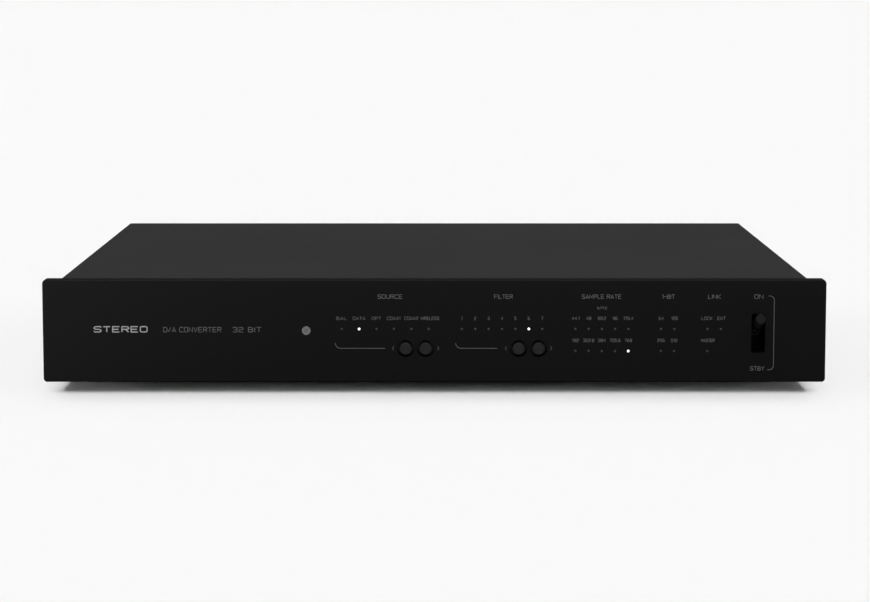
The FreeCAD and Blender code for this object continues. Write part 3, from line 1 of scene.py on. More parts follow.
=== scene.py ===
"""The looks of a full-width converter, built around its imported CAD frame. Metres, +Z up, +Y to the back."""

import json
import math

import bmesh
import bpy
from mathutils import Matrix, Vector


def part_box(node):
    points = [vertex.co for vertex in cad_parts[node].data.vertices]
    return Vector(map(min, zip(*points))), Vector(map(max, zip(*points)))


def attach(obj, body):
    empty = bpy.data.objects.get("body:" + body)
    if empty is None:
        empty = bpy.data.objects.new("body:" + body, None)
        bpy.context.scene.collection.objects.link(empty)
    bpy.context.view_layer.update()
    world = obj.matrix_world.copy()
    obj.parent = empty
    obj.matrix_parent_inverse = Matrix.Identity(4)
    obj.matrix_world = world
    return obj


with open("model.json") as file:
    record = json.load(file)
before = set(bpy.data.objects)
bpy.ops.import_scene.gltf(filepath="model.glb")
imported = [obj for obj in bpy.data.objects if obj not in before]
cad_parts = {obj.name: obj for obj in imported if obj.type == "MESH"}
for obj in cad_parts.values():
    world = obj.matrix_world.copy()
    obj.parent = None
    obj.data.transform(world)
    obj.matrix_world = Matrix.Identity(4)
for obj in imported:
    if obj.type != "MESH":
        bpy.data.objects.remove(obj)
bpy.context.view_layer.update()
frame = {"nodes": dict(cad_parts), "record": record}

MM = 0.001
CASE = "case"
NODES = frame["nodes"]
MOUNTS = {m["name"]: Vector(m["pos_m"]) for m in frame["record"]["mounts"]}

# The front of the face plate and its lower edge, and the back of the rear panel.
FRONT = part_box("front_panel")[0].y
PANEL_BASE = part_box("front_panel")[0].z
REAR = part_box("rear_panel")[1].y


def middle(node):
    """The middle of a node's box."""
    low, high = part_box(node)
    return (low + high) / 2


# ---------------------------------------------------------------- camera, floor and light

# The camera's distance from the face plate, its height and its place to the right of the middle, in metres.
# It looks down by the pitch, in degrees. Lens and sensor are in millimetres.
CAMERA_DISTANCE = 1.537
CAMERA_HEIGHT = 0.2357
CAMERA_SIDE = 0.0004
CAMERA_PITCH = 6.787
CAMERA_LENS = 111.63
SENSOR_WIDTH = 36
CAMERA_REACH = 200

FLOOR_TONE = 0.93
FLOOR_ROUGHNESS = 0.9
FLOOR_SIZE = 80
ROOM_LIGHT = 0.18

# Name, strength, width in degrees, elevation and azimuth of each sun. The object and the floor have their
# own, and the fill reaches both. Nodes that start within the face's depth don't shade the floor's own suns.
OBJECT_SUNS = [
    ("overhead", 1.68, 60, 86, 0),
    ("front_key", 1.05, 50, 50, -20),
]
FLOOR_SUNS = [
    ("floor_behind", 0.72, 30, 57, 180),
    ("floor_overhead", 1.74, 14, 81.5, 180),
    ("floor_left", 0.45, 22, 13, -90),
    ("floor_right", 0.3, 22, 13, 90),
]
SHARED_SUN = ("front_fill", 0.8, 18, 11, 0)
FACE_DEPTH = 7.5 * MM

# Name, power, size, place and aim of each soft box. They only add sheen to the face plate.
SOFTBOXES = [
    ("left_sheen", 1.7, (0.25, 0.2), (-0.42, FRONT - 0.22, 0.1), (-0.2, FRONT, 0.03)),
    ("top_sheen", 3, (0.9, 0.05), (0, FRONT - 0.1, 0.2), (0, FRONT, 0.03)),
]


def add_camera():
    """A long lens, nearly level with the face plate and a little above it."""
    data = bpy.data.cameras.new("camera")
    data.lens = CAMERA_LENS
    data.sensor_width = SENSOR_WIDTH
    data.clip_end = CAMERA_REACH
    camera = bpy.data.objects.new("camera", data)
    camera.location = (CAMERA_SIDE, FRONT - CAMERA_DISTANCE, CAMERA_HEIGHT)
    camera.rotation_euler = (math.radians(90 - CAMERA_PITCH), 0, 0)
    bpy.context.scene.collection.objects.link(camera)
    bpy.context.scene.camera = camera


def add_floor():
    """A plain pale floor without any gloss."""
    bpy.ops.mesh.primitive_plane_add(size=FLOOR_SIZE)
    floor = bpy.context.object
    floor.name = "floor"
    material = bpy.data.materials.new("pale_floor")
    material.use_nodes = True
    shader = material.node_tree.nodes["Principled BSDF"]
    shader.inputs["Base Color"].default_value = (FLOOR_TONE, FLOOR_TONE, FLOOR_TONE, 1)
    shader.inputs["Roughness"].default_value = FLOOR_ROUGHNESS
    shader.inputs["Specular IOR Level"].default_value = 0
    floor.data.materials.append(material)
    return floor


def light_group(name, members, state="INCLUDE"):
    """A collection for light linking: it includes only its members, or excludes them."""
    group = bpy.data.collections.new(name)
    for member in members:
        group.objects.link(member)
    for member in group.collection_objects:
        member.light_linking.link_state = state
    return group


def add_sun(name, energy, angle, elevation, azimuth, receivers=None, blockers=None):
    """A soft, far light. Azimuth 0 shines from the front, and 90 from the viewer's right."""
    data = bpy.data.lights.new(name, "SUN")
    data.energy = energy
    data.angle = math.radians(angle)
    light = bpy.data.objects.new(name, data)
    light.rotation_euler = (math.radians(90 - elevation), 0, math.radians(azimuth))
    light.light_linking.receiver_collection = receivers
    light.light_linking.blocker_collection = blockers
    bpy.context.scene.collection.objects.link(light)


def add_softbox(name, power, size, location, target, receivers):
    """A soft box that is seen only as a sheen on the receivers."""
    data = bpy.data.lights.new(name, "AREA")
    data.energy = power
    data.shape = "RECTANGLE"
    data.size, data.size_y = size
    light = bpy.data.objects.new(name, data)
    light.location = location
    aim = Vector(target) - Vector(location)
    light.rotation_euler = aim.to_track_quat("-Z", "Y").to_euler()
    light.visible_camera = False
    light.visible_diffuse = False
    light.light_linking.receiver_collection = receivers
    bpy.context.scene.collection.objects.link(light)


def add_light(floor):
    """A white backdrop, a dimmer room, suns for the object and the floor, and sheen on the face plate."""
    world = bpy.data.worlds.new("studio")
    world.use_nodes = True
    nodes, links = world.node_tree.nodes, world.node_tree.links
    seen = nodes.new("ShaderNodeLightPath").outputs["Is Camera Ray"]
    level = nodes.new("ShaderNodeMapRange")
    level.inputs["To Min"].default_value = ROOM_LIGHT
    level.inputs["To Max"].default_value = FLOOR_TONE
    links.new(seen, level.inputs["Value"])
    links.new(level.outputs["Result"], nodes["Background"].inputs["Strength"])
    nodes["Background"].inputs["Color"].default_value = (1, 1, 1, 1)
    bpy.context.scene.world = world
    all_but_floor = light_group("all_but_floor", [floor], "EXCLUDE")
    only_floor = light_group("only_floor", [floor])
    face_nodes = [node for name, node in NODES.items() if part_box(name)[0].y < FRONT + FACE_DEPTH]
    all_but_face = light_group("all_but_face", face_nodes, "EXCLUDE")
    for sun in OBJECT_SUNS:
        add_sun(*sun, all_but_floor)
    for sun in FLOOR_SUNS:
        add_sun(*sun, only_floor, all_but_face)
    add_sun(*SHARED_SUN)
    only_face = light_group("only_face", [NODES["front_panel"]])
    for softbox in SOFTBOXES:
        add_softbox(*softbox, only_face)


# ---------------------------------------------------------------- materials

# Noise and texture scales are in features per metre. Roughness, tint and tone have no unit.
FINE_GRAIN = 4200
PEEL_GRAIN = 1500
FULL_TURN = 2 * math.pi

# The colour inputs and the colour result of a Mix node, which has one of each for every kind of data.
MIX_A, MIX_B, MIX_RESULT = 6, 7, 2


class Finish:
    """A Principled material, with short ways to add the nodes that vary it over the surface."""

    def __init__(self, name, color, roughness, metallic=0.0, **constants):
        self.material = bpy.data.materials.new(name)
        self.material.use_nodes = True
        self.tree = self.material.node_tree
        self.shader = self.tree.nodes["Principled BSDF"]
        self.color = color
        self.shader.inputs["Base Color"].default_value = (*color, 1)
        self.shader.inputs["Roughness"].default_value = roughness
        self.shader.inputs["Metallic"].default_value = metallic
        for socket, value in constants.items():
            self.shader.inputs[socket.replace("_", " ")].default_value = value
        self.height = None

    def node(self, kind, **settings):
        """A new node of a kind, with its settings."""
        node = self.tree.nodes.new(kind)
        for key, value in settings.items():
            setattr(node, key, value)
        return node

    def link(self, source, target):
        self.tree.links.new(source, target)

    def feed(self, value, target):
        """Links a socket, or sets a plain number or colour."""
        if isinstance(value, bpy.types.NodeSocket):
            self.link(value, target)
        else:
            target.default_value = value

    def coordinates(self):
        """Object coordinates in metres."""
        return self.node("ShaderNodeTexCoord").outputs["Object"]

    def axis(self, name, centre=0.0):
        """One Object coordinate, counted from a centre."""
        split = self.node("ShaderNodeSeparateXYZ")
        self.link(self.coordinates(), split.inputs["Vector"])
        return self.math("SUBTRACT", split.outputs[name], centre)

    def math(self, operation, a, b=0.0):
        """One sum on sockets or numbers."""
        node = self.node("ShaderNodeMath", operation=operation)
        self.feed(a, node.inputs[0])
        self.feed(b, node.inputs[1])
        return node.outputs[0]

    def radius(self, centre):
        """The distance from a line that runs straight back through a centre."""
        across, up = self.axis("X", centre.x), self.axis("Z", centre.z)
        squares = self.math("ADD", self.math("MULTIPLY", across, across), self.math("MULTIPLY", up, up))
        return self.math("SQRT", squares)

    def noise(self, scale, detail=3.0):
        """Noise from about 0.3 to 0.7."""
        node = self.node("ShaderNodeTexNoise")
        node.inputs["Scale"].default_value = scale
        node.inputs["Detail"].default_value = detail
        self.link(self.coordinates(), node.inputs["Vector"])
        return node.outputs["Fac"]

    def spread(self, value, low, high, start=0.3, end=0.7):
        """Maps start..end of a value to low..high."""
        node = self.node("ShaderNodeMapRange")
        self.feed(value, node.inputs["Value"])
        node.inputs["From Min"].default_value = start
        node.inputs["From Max"].default_value = end
        node.inputs["To Min"].default_value = low
        node.inputs["To Max"].default_value = high
        return node.outputs["Result"]

    def mix(self, factor, a, b):
        """A blend from colour a to colour b."""
        node = self.node("ShaderNodeMix", data_type="RGBA")
        self.feed(factor, node.inputs["Factor"])
        for value, socket in ((a, node.inputs[MIX_A]), (b, node.inputs[MIX_B])):
            self.feed((*value, 1) if isinstance(value, tuple) else value, socket)
        return node.outputs[MIX_RESULT]

    def tint(self, *factors):
        """The base colour multiplied by factors that vary over the surface."""
        factor = factors[0]
        for other in factors[1:]:
            factor = self.math("MULTIPLY", factor, other)
        node = self.node("ShaderNodeVectorMath", operation="SCALE")
        node.inputs[0].default_value = self.color
        self.feed(factor, node.inputs["Scale"])
        self.set("Base Color", node.outputs["Vector"])

    def set(self, socket, value):
        """Sets or links one of the shader's inputs."""
        self.feed(value, self.shader.inputs[socket])

    def bump(self, height, depth):
        """Adds relief of a depth in metres on top of any relief already there."""
        node = self.node("ShaderNodeBump")
        node.inputs["Strength"].default_value = 1
        node.inputs["Distance"].default_value = depth
        self.feed(height, node.inputs["Height"])
        if self.height is not None:
            self.link(self.height, node.inputs["Normal"])
        self.height = node.outputs["Normal"]
        self.link(self.height, self.shader.inputs["Normal"])
        return self


def anodised(name, tone, roughness, specular):
    """Bead-blasted aluminium, dyed black: a fine even grain, with faint clouds in tone and sheen."""
    finish = Finish(name, (tone, tone, tone * 1.04), roughness, Specular_IOR_Level=specular)
    clouds = finish.noise(14, 4)
    grain = finish.noise(4600, 2)
    finish.tint(finish.spread(clouds, 0.92, 1.08), finish.spread(grain, 0.75, 1.25))
    finish.set("Roughness", finish.spread(clouds, roughness - 0.03, roughness + 0.03))
    return finish.bump(grain, 0.03 * MM)


def powder_coat(name, tone, roughness, specular):
    """Textured black powder coat: a shallow orange peel under a fine matt grain."""
    finish = Finish(name, (tone, tone, tone * 1.03), roughness, Specular_IOR_Level=specular)
    clouds = finish.noise(9, 4)
    peel = finish.noise(PEEL_GRAIN, 2)
    grain = finish.noise(FINE_GRAIN, 2)
    finish.tint(finish.spread(clouds, 0.94, 1.06), finish.spread(grain, 0.76, 1.24))
    finish.set("Roughness", finish.spread(peel, roughness - 0.06, roughness + 0.06))
    return finish.bump(peel, 0.07 * MM).bump(grain, 0.03 * MM)


def plastic(name, color, roughness=0.5, specular=0.35, texture=0.01):
    """Moulded plastic with slightly uneven gloss and a spark-eroded texture, its depth in millimetres."""
    finish = Finish(name, color, roughness, Specular_IOR_Level=specular)
    flow = finish.noise(60)
    grain = finish.noise(FINE_GRAIN, 2)
    finish.tint(finish.spread(flow, 0.9, 1.1), finish.spread(grain, 0.95, 1.05))
    finish.set("Roughness", finish.spread(flow, roughness - 0.06, roughness + 0.06))
    return finish.bump(grain, texture * MM)


def plated(name, color, roughness, scale=900, wear=1.0):
    """Plated metal: fine marks and faint patches of stain, both by the amount of wear."""
    finish = Finish(name, color, roughness, metallic=1.0)
    stain = finish.noise(45, 4)
    marks = finish.noise(scale)
    finish.tint(finish.spread(stain, 1 - 0.14 * wear, 1 + 0.06 * wear),
                finish.spread(marks, 1 - 0.06 * wear, 1 + 0.04 * wear))
    finish.set("Roughness", finish.spread(marks, roughness - 0.06 * wear, roughness + 0.1 * wear))
    return finish.bump(marks, 0.006 * wear * MM)


def rubber(name):
    """Moulded rubber, dull, with a little dust on it."""
    finish = Finish(name, (0.035, 0.035, 0.035), 0.8, Specular_IOR_Level=0.25)
    dust = finish.noise(130, 5)
    grain = finish.noise(2600)
    finish.tint(finish.spread(dust, 0.8, 1.35))
    finish.set("Roughness", finish.spread(grain, 0.72, 0.9))
    return finish.bump(grain, 0.03 * MM)


def spun_button(name, tone, centre, specular):
    """A black turned cap: fine rings a fifth of a millimetre apart about its axis."""
    finish = Finish(name, (tone, tone, tone * 1.03), 0.4, Specular_IOR_Level=specular)
    rings = finish.math("SINE", finish.math("MULTIPLY", finish.radius(centre), FULL_TURN / (0.2 * MM)))
    grain = finish.noise(FINE_GRAIN, 2)
    finish.tint(finish.spread(rings, 0.86, 1.14, -1, 1), finish.spread(grain, 0.85, 1.15))
    finish.set("Roughness", finish.spread(grain, 0.36, 0.46))
    return finish.bump(finish.spread(rings, 0, 1, -1, 1), 0.008 * MM)


def smoked_window(name, centre):
    """A grey plastic disc, a little darker in the middle, where the receiver stands close behind it."""
    finish = Finish(name, (0.1, 0.097, 0.1), 0.22, Specular_IOR_Level=0.45)
    edge = finish.spread(finish.radius(centre), 0.62, 1.0, 0.7 * MM, 1.7 * MM)
    finish.tint(edge, finish.spread(finish.noise(300), 0.95, 1.05))
    finish.set("Roughness", finish.spread(finish.noise(900), 0.18, 0.28))
    return finish.bump(finish.noise(FINE_GRAIN), 0.002 * MM)


def ink(name, tone):
    """Screen-printed ink, with slightly uneven cover."""
    finish = Finish(name, (tone, tone, tone), 0.6, Specular_IOR_Level=0.2)
    cover = finish.noise(2500)
    finish.tint(finish.spread(cover, 0.85, 1.1))
    return finish.bump(cover, 0.004 * MM)


def glowing(name, color, strength):
    """A lit lamp's lens, slightly uneven."""
    finish = Finish(name, color, 0.25, Specular_IOR_Level=0.4)
    finish.set("Emission Color", (*color, 1))
    finish.set("Emission Strength", finish.spread(finish.noise(900, 2), strength * 0.92, strength * 1.08))
    return finish


def circuit_board(name, resist):
    """Solder resist, darker over bare board and lighter over a grid of tracks, with round tinned pads."""
    finish = Finish(name, resist, 0.35, Specular_IOR_Level=0.5)
    cells = finish.node("ShaderNodeTexBrick", offset=0.5, squash=1.0)
    cells.inputs["Scale"].default_value = 55
    cells.inputs["Mortar Size"].default_value = 0.03
    cells.inputs["Color1"].default_value = (0, 0, 0, 1)
    cells.inputs["Color2"].default_value = (0.2, 0.2, 0.2, 1)
    cells.inputs["Mortar"].default_value = (1, 1, 1, 1)
    finish.link(finish.coordinates(), cells.inputs["Vector"])
    tracks = cells.outputs["Fac"]
    pads = finish.node("ShaderNodeTexVoronoi")
    pads.inputs["Scale"].default_value = 210
    finish.link(finish.coordinates(), pads.inputs["Vector"])
    pad = finish.math("LESS_THAN", pads.outputs["Distance"], 0.16)
    mask = finish.mix(tracks, resist, tuple(c * 1.7 for c in resist))
    finish.set("Base Color", finish.mix(pad, mask, (0.5, 0.5, 0.46)))
    finish.set("Metallic", finish.math("MULTIPLY", pad, 0.9))
    finish.set("Roughness", finish.spread(finish.noise(120), 0.28, 0.42))
    return finish.bump(tracks, 0.03 * MM)


def wound_tape(name, centre, turns=46):
    """Polyester tape wound round a ring: overlapping bands that fan out from the middle."""
    finish = Finish(name, (0.62, 0.43, 0.06), 0.3, Specular_IOR_Level=0.5)
    angle = finish.math("ARCTAN2", finish.axis("Y", centre.y), finish.axis("X", centre.x))
    band = finish.math("FRACT", finish.math("MULTIPLY", angle, turns / FULL_TURN))
    overlap = finish.math("POWER", band, 2)
    finish.tint(finish.spread(band, 0.8, 1.08, 0, 1), finish.spread(finish.noise(70), 0.9, 1.1))
    finish.set("Roughness", finish.spread(finish.noise(200), 0.22, 0.4))
    return finish.bump(overlap, 0.2 * MM)


def ribbon(name, low, high, ways=16):
    """A grey flat cable: a rounded ridge for each way, and a red edge."""
    finish = Finish(name, (0.42, 0.42, 0.42), 0.45, Specular_IOR_Level=0.4)
    across = finish.spread(finish.axis("X"), 0, 1, low.x, high.x)
    ridge = finish.math("ABSOLUTE", finish.math("SINE", finish.math("MULTIPLY", across, math.pi * ways)))
    first = finish.math("LESS_THAN", across, 1 / ways)
    grey = finish.mix(finish.noise(80), (0.36, 0.36, 0.37), (0.46, 0.46, 0.47))
    finish.set("Base Color", finish.mix(first, grey, (0.42, 0.03, 0.02)))
    return finish.bump(ridge, 0.3 * MM)


CAN_TOP = 0.9 * MM


def sleeved_can(name, top, sleeve=(0.02, 0.022, 0.035)):
    """A capacitor: a printed sleeve round the side and bare aluminium on top."""
    finish = Finish(name, sleeve, 0.35, Specular_IOR_Level=0.5)
    bare = finish.math("GREATER_THAN", finish.axis("Z"), top - CAN_TOP)
    shade = finish.mix(finish.noise(160), sleeve, tuple(c * 1.5 for c in sleeve))
    finish.set("Base Color", finish.mix(bare, shade, (0.62, 0.62, 0.63)))
    finish.set("Metallic", bare)
    finish.set("Roughness", finish.spread(finish.noise(400), 0.28, 0.45))
    return finish.bump(finish.noise(PEEL_GRAIN), 0.008 * MM)


def dress_frame():
    """Gives every carried-over CAD node its material."""
    coat = powder_coat("case_coat", 0.025, 0.85, 0.1)
    black_plastic = plastic("socket_black", (0.022, 0.022, 0.023))
    black_screws = plated("screw_black", (0.05, 0.05, 0.055), 0.38)
    bright = plated("nickel", (0.72, 0.71, 0.68), 0.22)
    zinc = plated("zinc_sheet", (0.60, 0.61, 0.60), 0.34, scale=260)
    gold = plated("gold_plate", (0.9, 0.66, 0.28), 0.3, scale=1400, wear=0.2)
    feet = plastic("foot_black", (0.02, 0.02, 0.02), 0.55)
    chips = plastic("chip_black", (0.018, 0.018, 0.019), 0.55)
    board = circuit_board("board_green", (0.012, 0.075, 0.038))
    guides = plastic("smoked_acrylic", (0.05, 0.05, 0.055), 0.2, 0.5, 0.002)
    lever = anodised("lever_black", 0.0065, 0.4, 0.05)
    finishes = {
        "front_panel": anodised("panel_black", 0.0014, 0.6, 0.042),
        "base_tray": coat,
        "top_cover": coat,
        "rear_panel": coat,
        # The subframe, lever bracket and switch behind the face are darker than their real black paint and
        # plastic: painted shade for the lever's slot and the gaps round the buttons.
        "front_subframe": powder_coat("inner_black_painted_shade", 0.002, 0.7, 0.03),
        "switch_bracket": powder_coat("bracket_black_painted_shade", 0.0015, 0.7, 0.02),
        "standby_switch": plastic("switch_black_painted_shade", (0.003, 0.003, 0.003), 0.6, 0.05),
        "switch_nut": plated("nut_black", (0.01, 0.01, 0.01), 0.5),
        "foot_pads": rubber("pad_rubber"),
        "case_screws": black_screws,
        "connector_screws": black_screws,
        "front_panel_screws": bright,
        "board_screws": bright,
        "foot_screws": bright,
        "board_standoffs": zinc,
        "tactile_switches": chips,
        "indicator_lamps": plastic("lamp_white", (0.7, 0.68, 0.6), 0.35),
        "remote_window": smoked_window("smoked_window", middle("remote_window")),
        "remote_receiver": chips,
        # The display board's resist is black rather than green: painted shade where it shows through the gaps
        # round the buttons.
        "display_board": circuit_board("board_painted_shade_black", (0.002, 0.002, 0.002)),
        "main_board": board,
        "power_board": board,
        "switch_lever": plated("lever_steel", (0.25, 0.25, 0.25), 0.35),
        "lever_grip": lever,
        "converter_chips": chips,
        "muting_relays": plastic("relay_grey", (0.55, 0.55, 0.53), 0.4),
        "regulator_heatsink": anodised("heatsink_black", 0.02, 0.45, 0.3),
        "transformer_pad": rubber("cushion_rubber"),
        "transformer_washer": zinc,
        "transformer_bolt": zinc,
        "mains_inlet": black_plastic,
        "fuse_drawer": black_plastic,
        "mains_switch": black_plastic,
        "mains_rocker": plastic("rocker_black", (0.02, 0.02, 0.021), 0.3, 0.5, 0.004),
        "antenna_socket": gold,
        "computer_socket": bright,
        "optical_socket": black_plastic,
        "optical_shutter": plastic("shutter_grey", (0.09, 0.09, 0.095), 0.5),
        "phono_sockets": gold,
        "balanced_output_sockets": black_plastic,
        "balanced_input_socket": black_plastic,
        "input_latch": bright,
        "internal_leads": plastic("lead_red", (0.30, 0.02, 0.02), 0.45),
    }
    small_top, large_top = (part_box(name)[1].z for name in ("signal_capacitors", "reservoir_capacitors"))
    finishes["toroidal_transformer"] = wound_tape("coil_tape", middle("toroidal_transformer"))
    finishes["ribbon_cable"] = ribbon("ribbon_grey", *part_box("ribbon_cable"))
    finishes["signal_capacitors"] = sleeved_can("small_can", small_top, (0.25, 0.16, 0.03))
    finishes["reservoir_capacitors"] = sleeved_can("large_can", large_top)
    for name in NODES:
        if name.startswith("foot_") and name not in finishes:
            finishes[name] = feet
        if name.endswith("light_guide"):
            finishes[name] = guides
        if name.endswith("_button"):
            finishes[name] = spun_button(f"{name}_black", 0.0075, middle(name), 0.1)
    for name, node in NODES.items():
        node.data.materials.clear()
        node.data.materials.append(finishes[name].material)


# ---------------------------------------------------------------- piece helpers


def make_piece(name, mesh, finish, body=CASE, smooth=False):
    """Turns a bmesh into a piece that rides on a body and takes its finish from a slot."""
    data = bpy.data.meshes.new(name)
    bmesh.ops.recalc_face_normals(mesh, faces=mesh.faces)
    mesh.to_mesh(data)
    mesh.free()
    data.materials.append(finish.material)
    if smooth:
        data.shade_smooth()
    piece = bpy.data.objects.new(name, data)
    bpy.context.scene.collection.objects.link(piece)
    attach(piece, body)


def facing_front(x, z):
    """Takes (right, up, out) to the face plate, centred at x along it and z above its lower edge."""
    turn = Matrix(((1, 0, 0), (0, 0, -1), (0, 1, 0))).to_4x4()
    return Matrix.Translation((x, FRONT, PANEL_BASE + z)) @ turn


def facing_back(x, z):
    """Takes (right, up, out) to the rear panel as seen from behind, centred at x and at height z."""
    turn = Matrix(((-1, 0, 0), (0, 0, 1), (0, 1, 0))).to_4x4()
    return Matrix.Translation((x, REAR, z)) @ turn


INK_THICKNESS = 0.02 * MM
SHARPEST_MITRE = 0.5

# Single-line letters. Each point is two hex digits, across (0 to 10) and up (0 to 12).
# Strokes are set apart by bars, and one that starts with ~ has rounded corners.
GLYPHS = {
    "A": "00 4c 80|13 73", "B": "00 0c|~0c 7c 76 06|~46 86 80 00", "C": "~8a 8c 0c 00 80 82",
    "D": "00 0c|~0c 8c 80 00", "E": "8c 0c 00 80|06 76", "F": "8c 0c 00|06 76",
    "G": "~8a 8c 0c 00 80 86 46", "H": "00 0c|80 8c|06 86", "I": "00 0c", "J": "~7c 70 00 03",
    "K": "00 0c|8c 06 80", "L": "0c 00 70", "M": "00 0c 53 ac a0", "N": "00 0c 80 8c",
    "O": "~4c 8c 80 00 0c 4c", "P": "00 0c|~0c 8c 85 05", "R": "00 0c|~0c 8c 86 06|46 80",
    "S": "~8a 8c 0c 06 86 80 00 02", "T": "0c 8c|4c 40", "U": "~0c 00 80 8c", "V": "0c 40 8c",
    "W": "0c 20 5a 80 ac", "X": "00 8c|0c 80", "Y": "0c 46 8c|46 40", "Z": "0c 8c 00 80",
    "k": "00 0c|68 03 60", "z": "08 68 00 60",
    "0": "~4c 7c 70 00 0c 4c", "1": "0a 3c 30", "2": "~0a 0c 7c 76 06 00|00 70",
    "3": "~0a 0c 7c 76 26|~26 76 70 00 02", "4": "60 6c 04 84", "5": "7c 0c 07|~07 77 70 00 02",
    "6": "~37 77 70 00 07 37|~6c 0c 04", "7": "0c 7c 20", "8": "~3c 7c 76 06 0c 3c|~36 76 70 00 06 36",
    "9": "~35 05 0c 7c 75 35|~78 70 10", ".": "00 01", "/": "00 6c", "-": "06 66",
}
GLYPH_RISE = 12
GLYPH_GAP = 3
SPACE_WIDTH = 6
CORNER_ROUND = 3


def arc_points(centre, radius, start, end, steps=8):
    """Points along an arc, from one angle in degrees to another."""
    angles = [math.radians(start + (end - start) * i / steps) for i in range(steps + 1)]
    return [(centre[0] + radius * math.cos(a), centre[1] + radius * math.sin(a)) for a in angles]


def add_line(mesh, points, place, width, thickness=INK_THICKNESS):
    """A printed line of even width along (right, up) points in millimetres."""
    spots = [Vector((u * MM, v * MM)) for u, v in points]
    sides = []
    for i, spot in enumerate(spots):
        before = (spot - spots[i - 1]).normalized() if i else None
        after = (spots[i + 1] - spot).normalized() if i + 1 < len(spots) else None
        ahead = ((before or after) + (after or before)).normalized()
        normal = Vector((-ahead.y, ahead.x))
        run = before or after
        reach = width / 2 / max(SHARPEST_MITRE, normal.dot(Vector((-run.y, run.x))))
        sides.append((spot + normal * reach, spot - normal * reach))
    rows = []
    for left, right in sides:
        rows.append([mesh.verts.new(place @ Vector((p.x, p.y, w)))
                     for p, w in ((left, 0), (right, 0), (right, thickness), (left, thickness))])
    for first, second in zip(rows, rows[1:]):
        for i in range(4):
            mesh.faces.new((first[i], first[(i + 1) % 4], second[(i + 1) % 4], second[i]))
    mesh.faces.new(rows[0])
    mesh.faces.new(rows[-1])


def rounded(points, radius=CORNER_ROUND, steps=3):
    """The same path with each inner corner replaced by a smooth bend."""
    path = [points[0]]
    for before, corner, after in zip(points, points[1:], points[2:]):
        reach = min(radius, (corner - before).length / 2, (after - corner).length / 2)
        start = corner + (before - corner).normalized() * reach
        end = corner + (after - corner).normalized() * reach
        for i in range(steps + 1):
            t = i / steps
            path.append(start * (1 - t) ** 2 + corner * 2 * t * (1 - t) + end * t ** 2)
    return path + [points[-1]]


def lay_out(text):
    """The strokes of a line of text in glyph units, and its width."""
    strokes, across = [], 0
    for letter in text:
        if letter == " ":
            across += SPACE_WIDTH
            continue
        furthest = 0
        for code in GLYPHS[letter].split("|"):
            points = [Vector((int(pair[0], 16), int(pair[1], 16))) for pair in code.strip("~").split()]
            furthest = max([furthest] + [p.x for p in points])
            points = rounded(points) if code.startswith("~") else points
            strokes.append([p + Vector((across, 0)) for p in points])
        across += furthest + GLYPH_GAP
    return strokes, across - GLYPH_GAP


def add_text(mesh, text, place, height, width, pen):
    """A line of text centred on its place, height by width metres over all, drawn with a pen of even width.

    Strokes that cross differ a little in thickness, so that no two of their faces lie in one plane.
    """
    strokes, extent = lay_out(text)
    tall = (height - pen) / GLYPH_RISE / MM
    wide = (width - pen) / max(extent, 1) / MM
    for i, stroke in enumerate(strokes):
        spots = [((p.x - extent / 2) * wide, (p.y - GLYPH_RISE / 2) * tall) for p in stroke]
        add_line(mesh, spots, place, pen, INK_THICKNESS * (1 + i % 4 * 0.25))


def add_turned(mesh, profile, place, segments=48):
    """A closed shape turned about the local out axis from (radius, out) pairs in millimetres."""
    rings = []
    for radius, out in profile:
        if radius == 0:
            rings.append([mesh.verts.new(place @ Vector((0, 0, out * MM)))])
            continue
        ring = []
        for i in range(segments):
            angle = 2 * math.pi * i / segments
            spot = Vector((radius * math.cos(angle), radius * math.sin(angle), out)) * MM
            ring.append(mesh.verts.new(place @ spot))
        rings.append(ring)
    closed = profile[0][0] and profile[-1][0]
    pairs = list(zip(rings, rings[1:])) + ([(rings[-1], rings[0])] if closed else [])
    for first, second in pairs:
        for i in range(segments):
            j = (i + 1) % segments
            corners = [first[i % len(first)], first[j % len(first)],
                       second[j % len(second)], second[i % len(second)]]
            corners = list(dict.fromkeys(corners))
            if len(corners) > 2:
                mesh.faces.new(corners)


# ---------------------------------------------------------------- face plate

# How far the lamps stand in from the ends and from the long edges of their light guide.
GUIDE_MARGIN = 3.4 * MM
GUIDE_RIM = 2 * MM


def lamp_row(node, count, upper=True):
    """The (x, height above the plate's lower edge) of each lamp in a light guide's row."""
    low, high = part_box(node)
    first, last = low.x + GUIDE_MARGIN, high.x - GUIDE_MARGIN
    level = (high.z - GUIDE_RIM if upper else low.z + GUIDE_RIM) - PANEL_BASE
    step = (last - first) / (count - 1)
    return [(first + step * i, level) for i in range(count)]


LAMPS = {
    "source": lamp_row("source_light_guide", 6),
    "filter": lamp_row("filter_light_guide", 7),
    "rate": lamp_row("rate_light_guide", 5),
    "rate_low": lamp_row("rate_light_guide", 5, upper=False),
    "format": lamp_row("format_light_guide", 2),
    "format_low": lamp_row("format_light_guide", 2, upper=False),
    "lock": lamp_row("lock_light_guide", 2),
    "lock_low": lamp_row("lock_light_guide", 2, upper=False)[:1],
}
LIT = (LAMPS["source"][1], LAMPS["filter"][5], LAMPS["rate_low"][4])
LABELS = {
    "source": ["BAL", "DATA", "OPT", "COAX1", "COAX2", "WIRELESS"],
    "filter": list("1234567"),
    "rate": ["44.1", "48", "88.2", "96", "176.4"],
    "rate_low": ["192", "352.8", "384", "705.6", "768"],
    "format": ["64", "128"],
    "format_low": ["256", "512"],
    "lock": ["LOCK", "EXT"],
    "lock_low": ["MASTER"],
}
LABEL_RISE = 6.15 * MM
LABEL_HEIGHT = 1.9 * MM
LABEL_PEN = 0.2 * MM

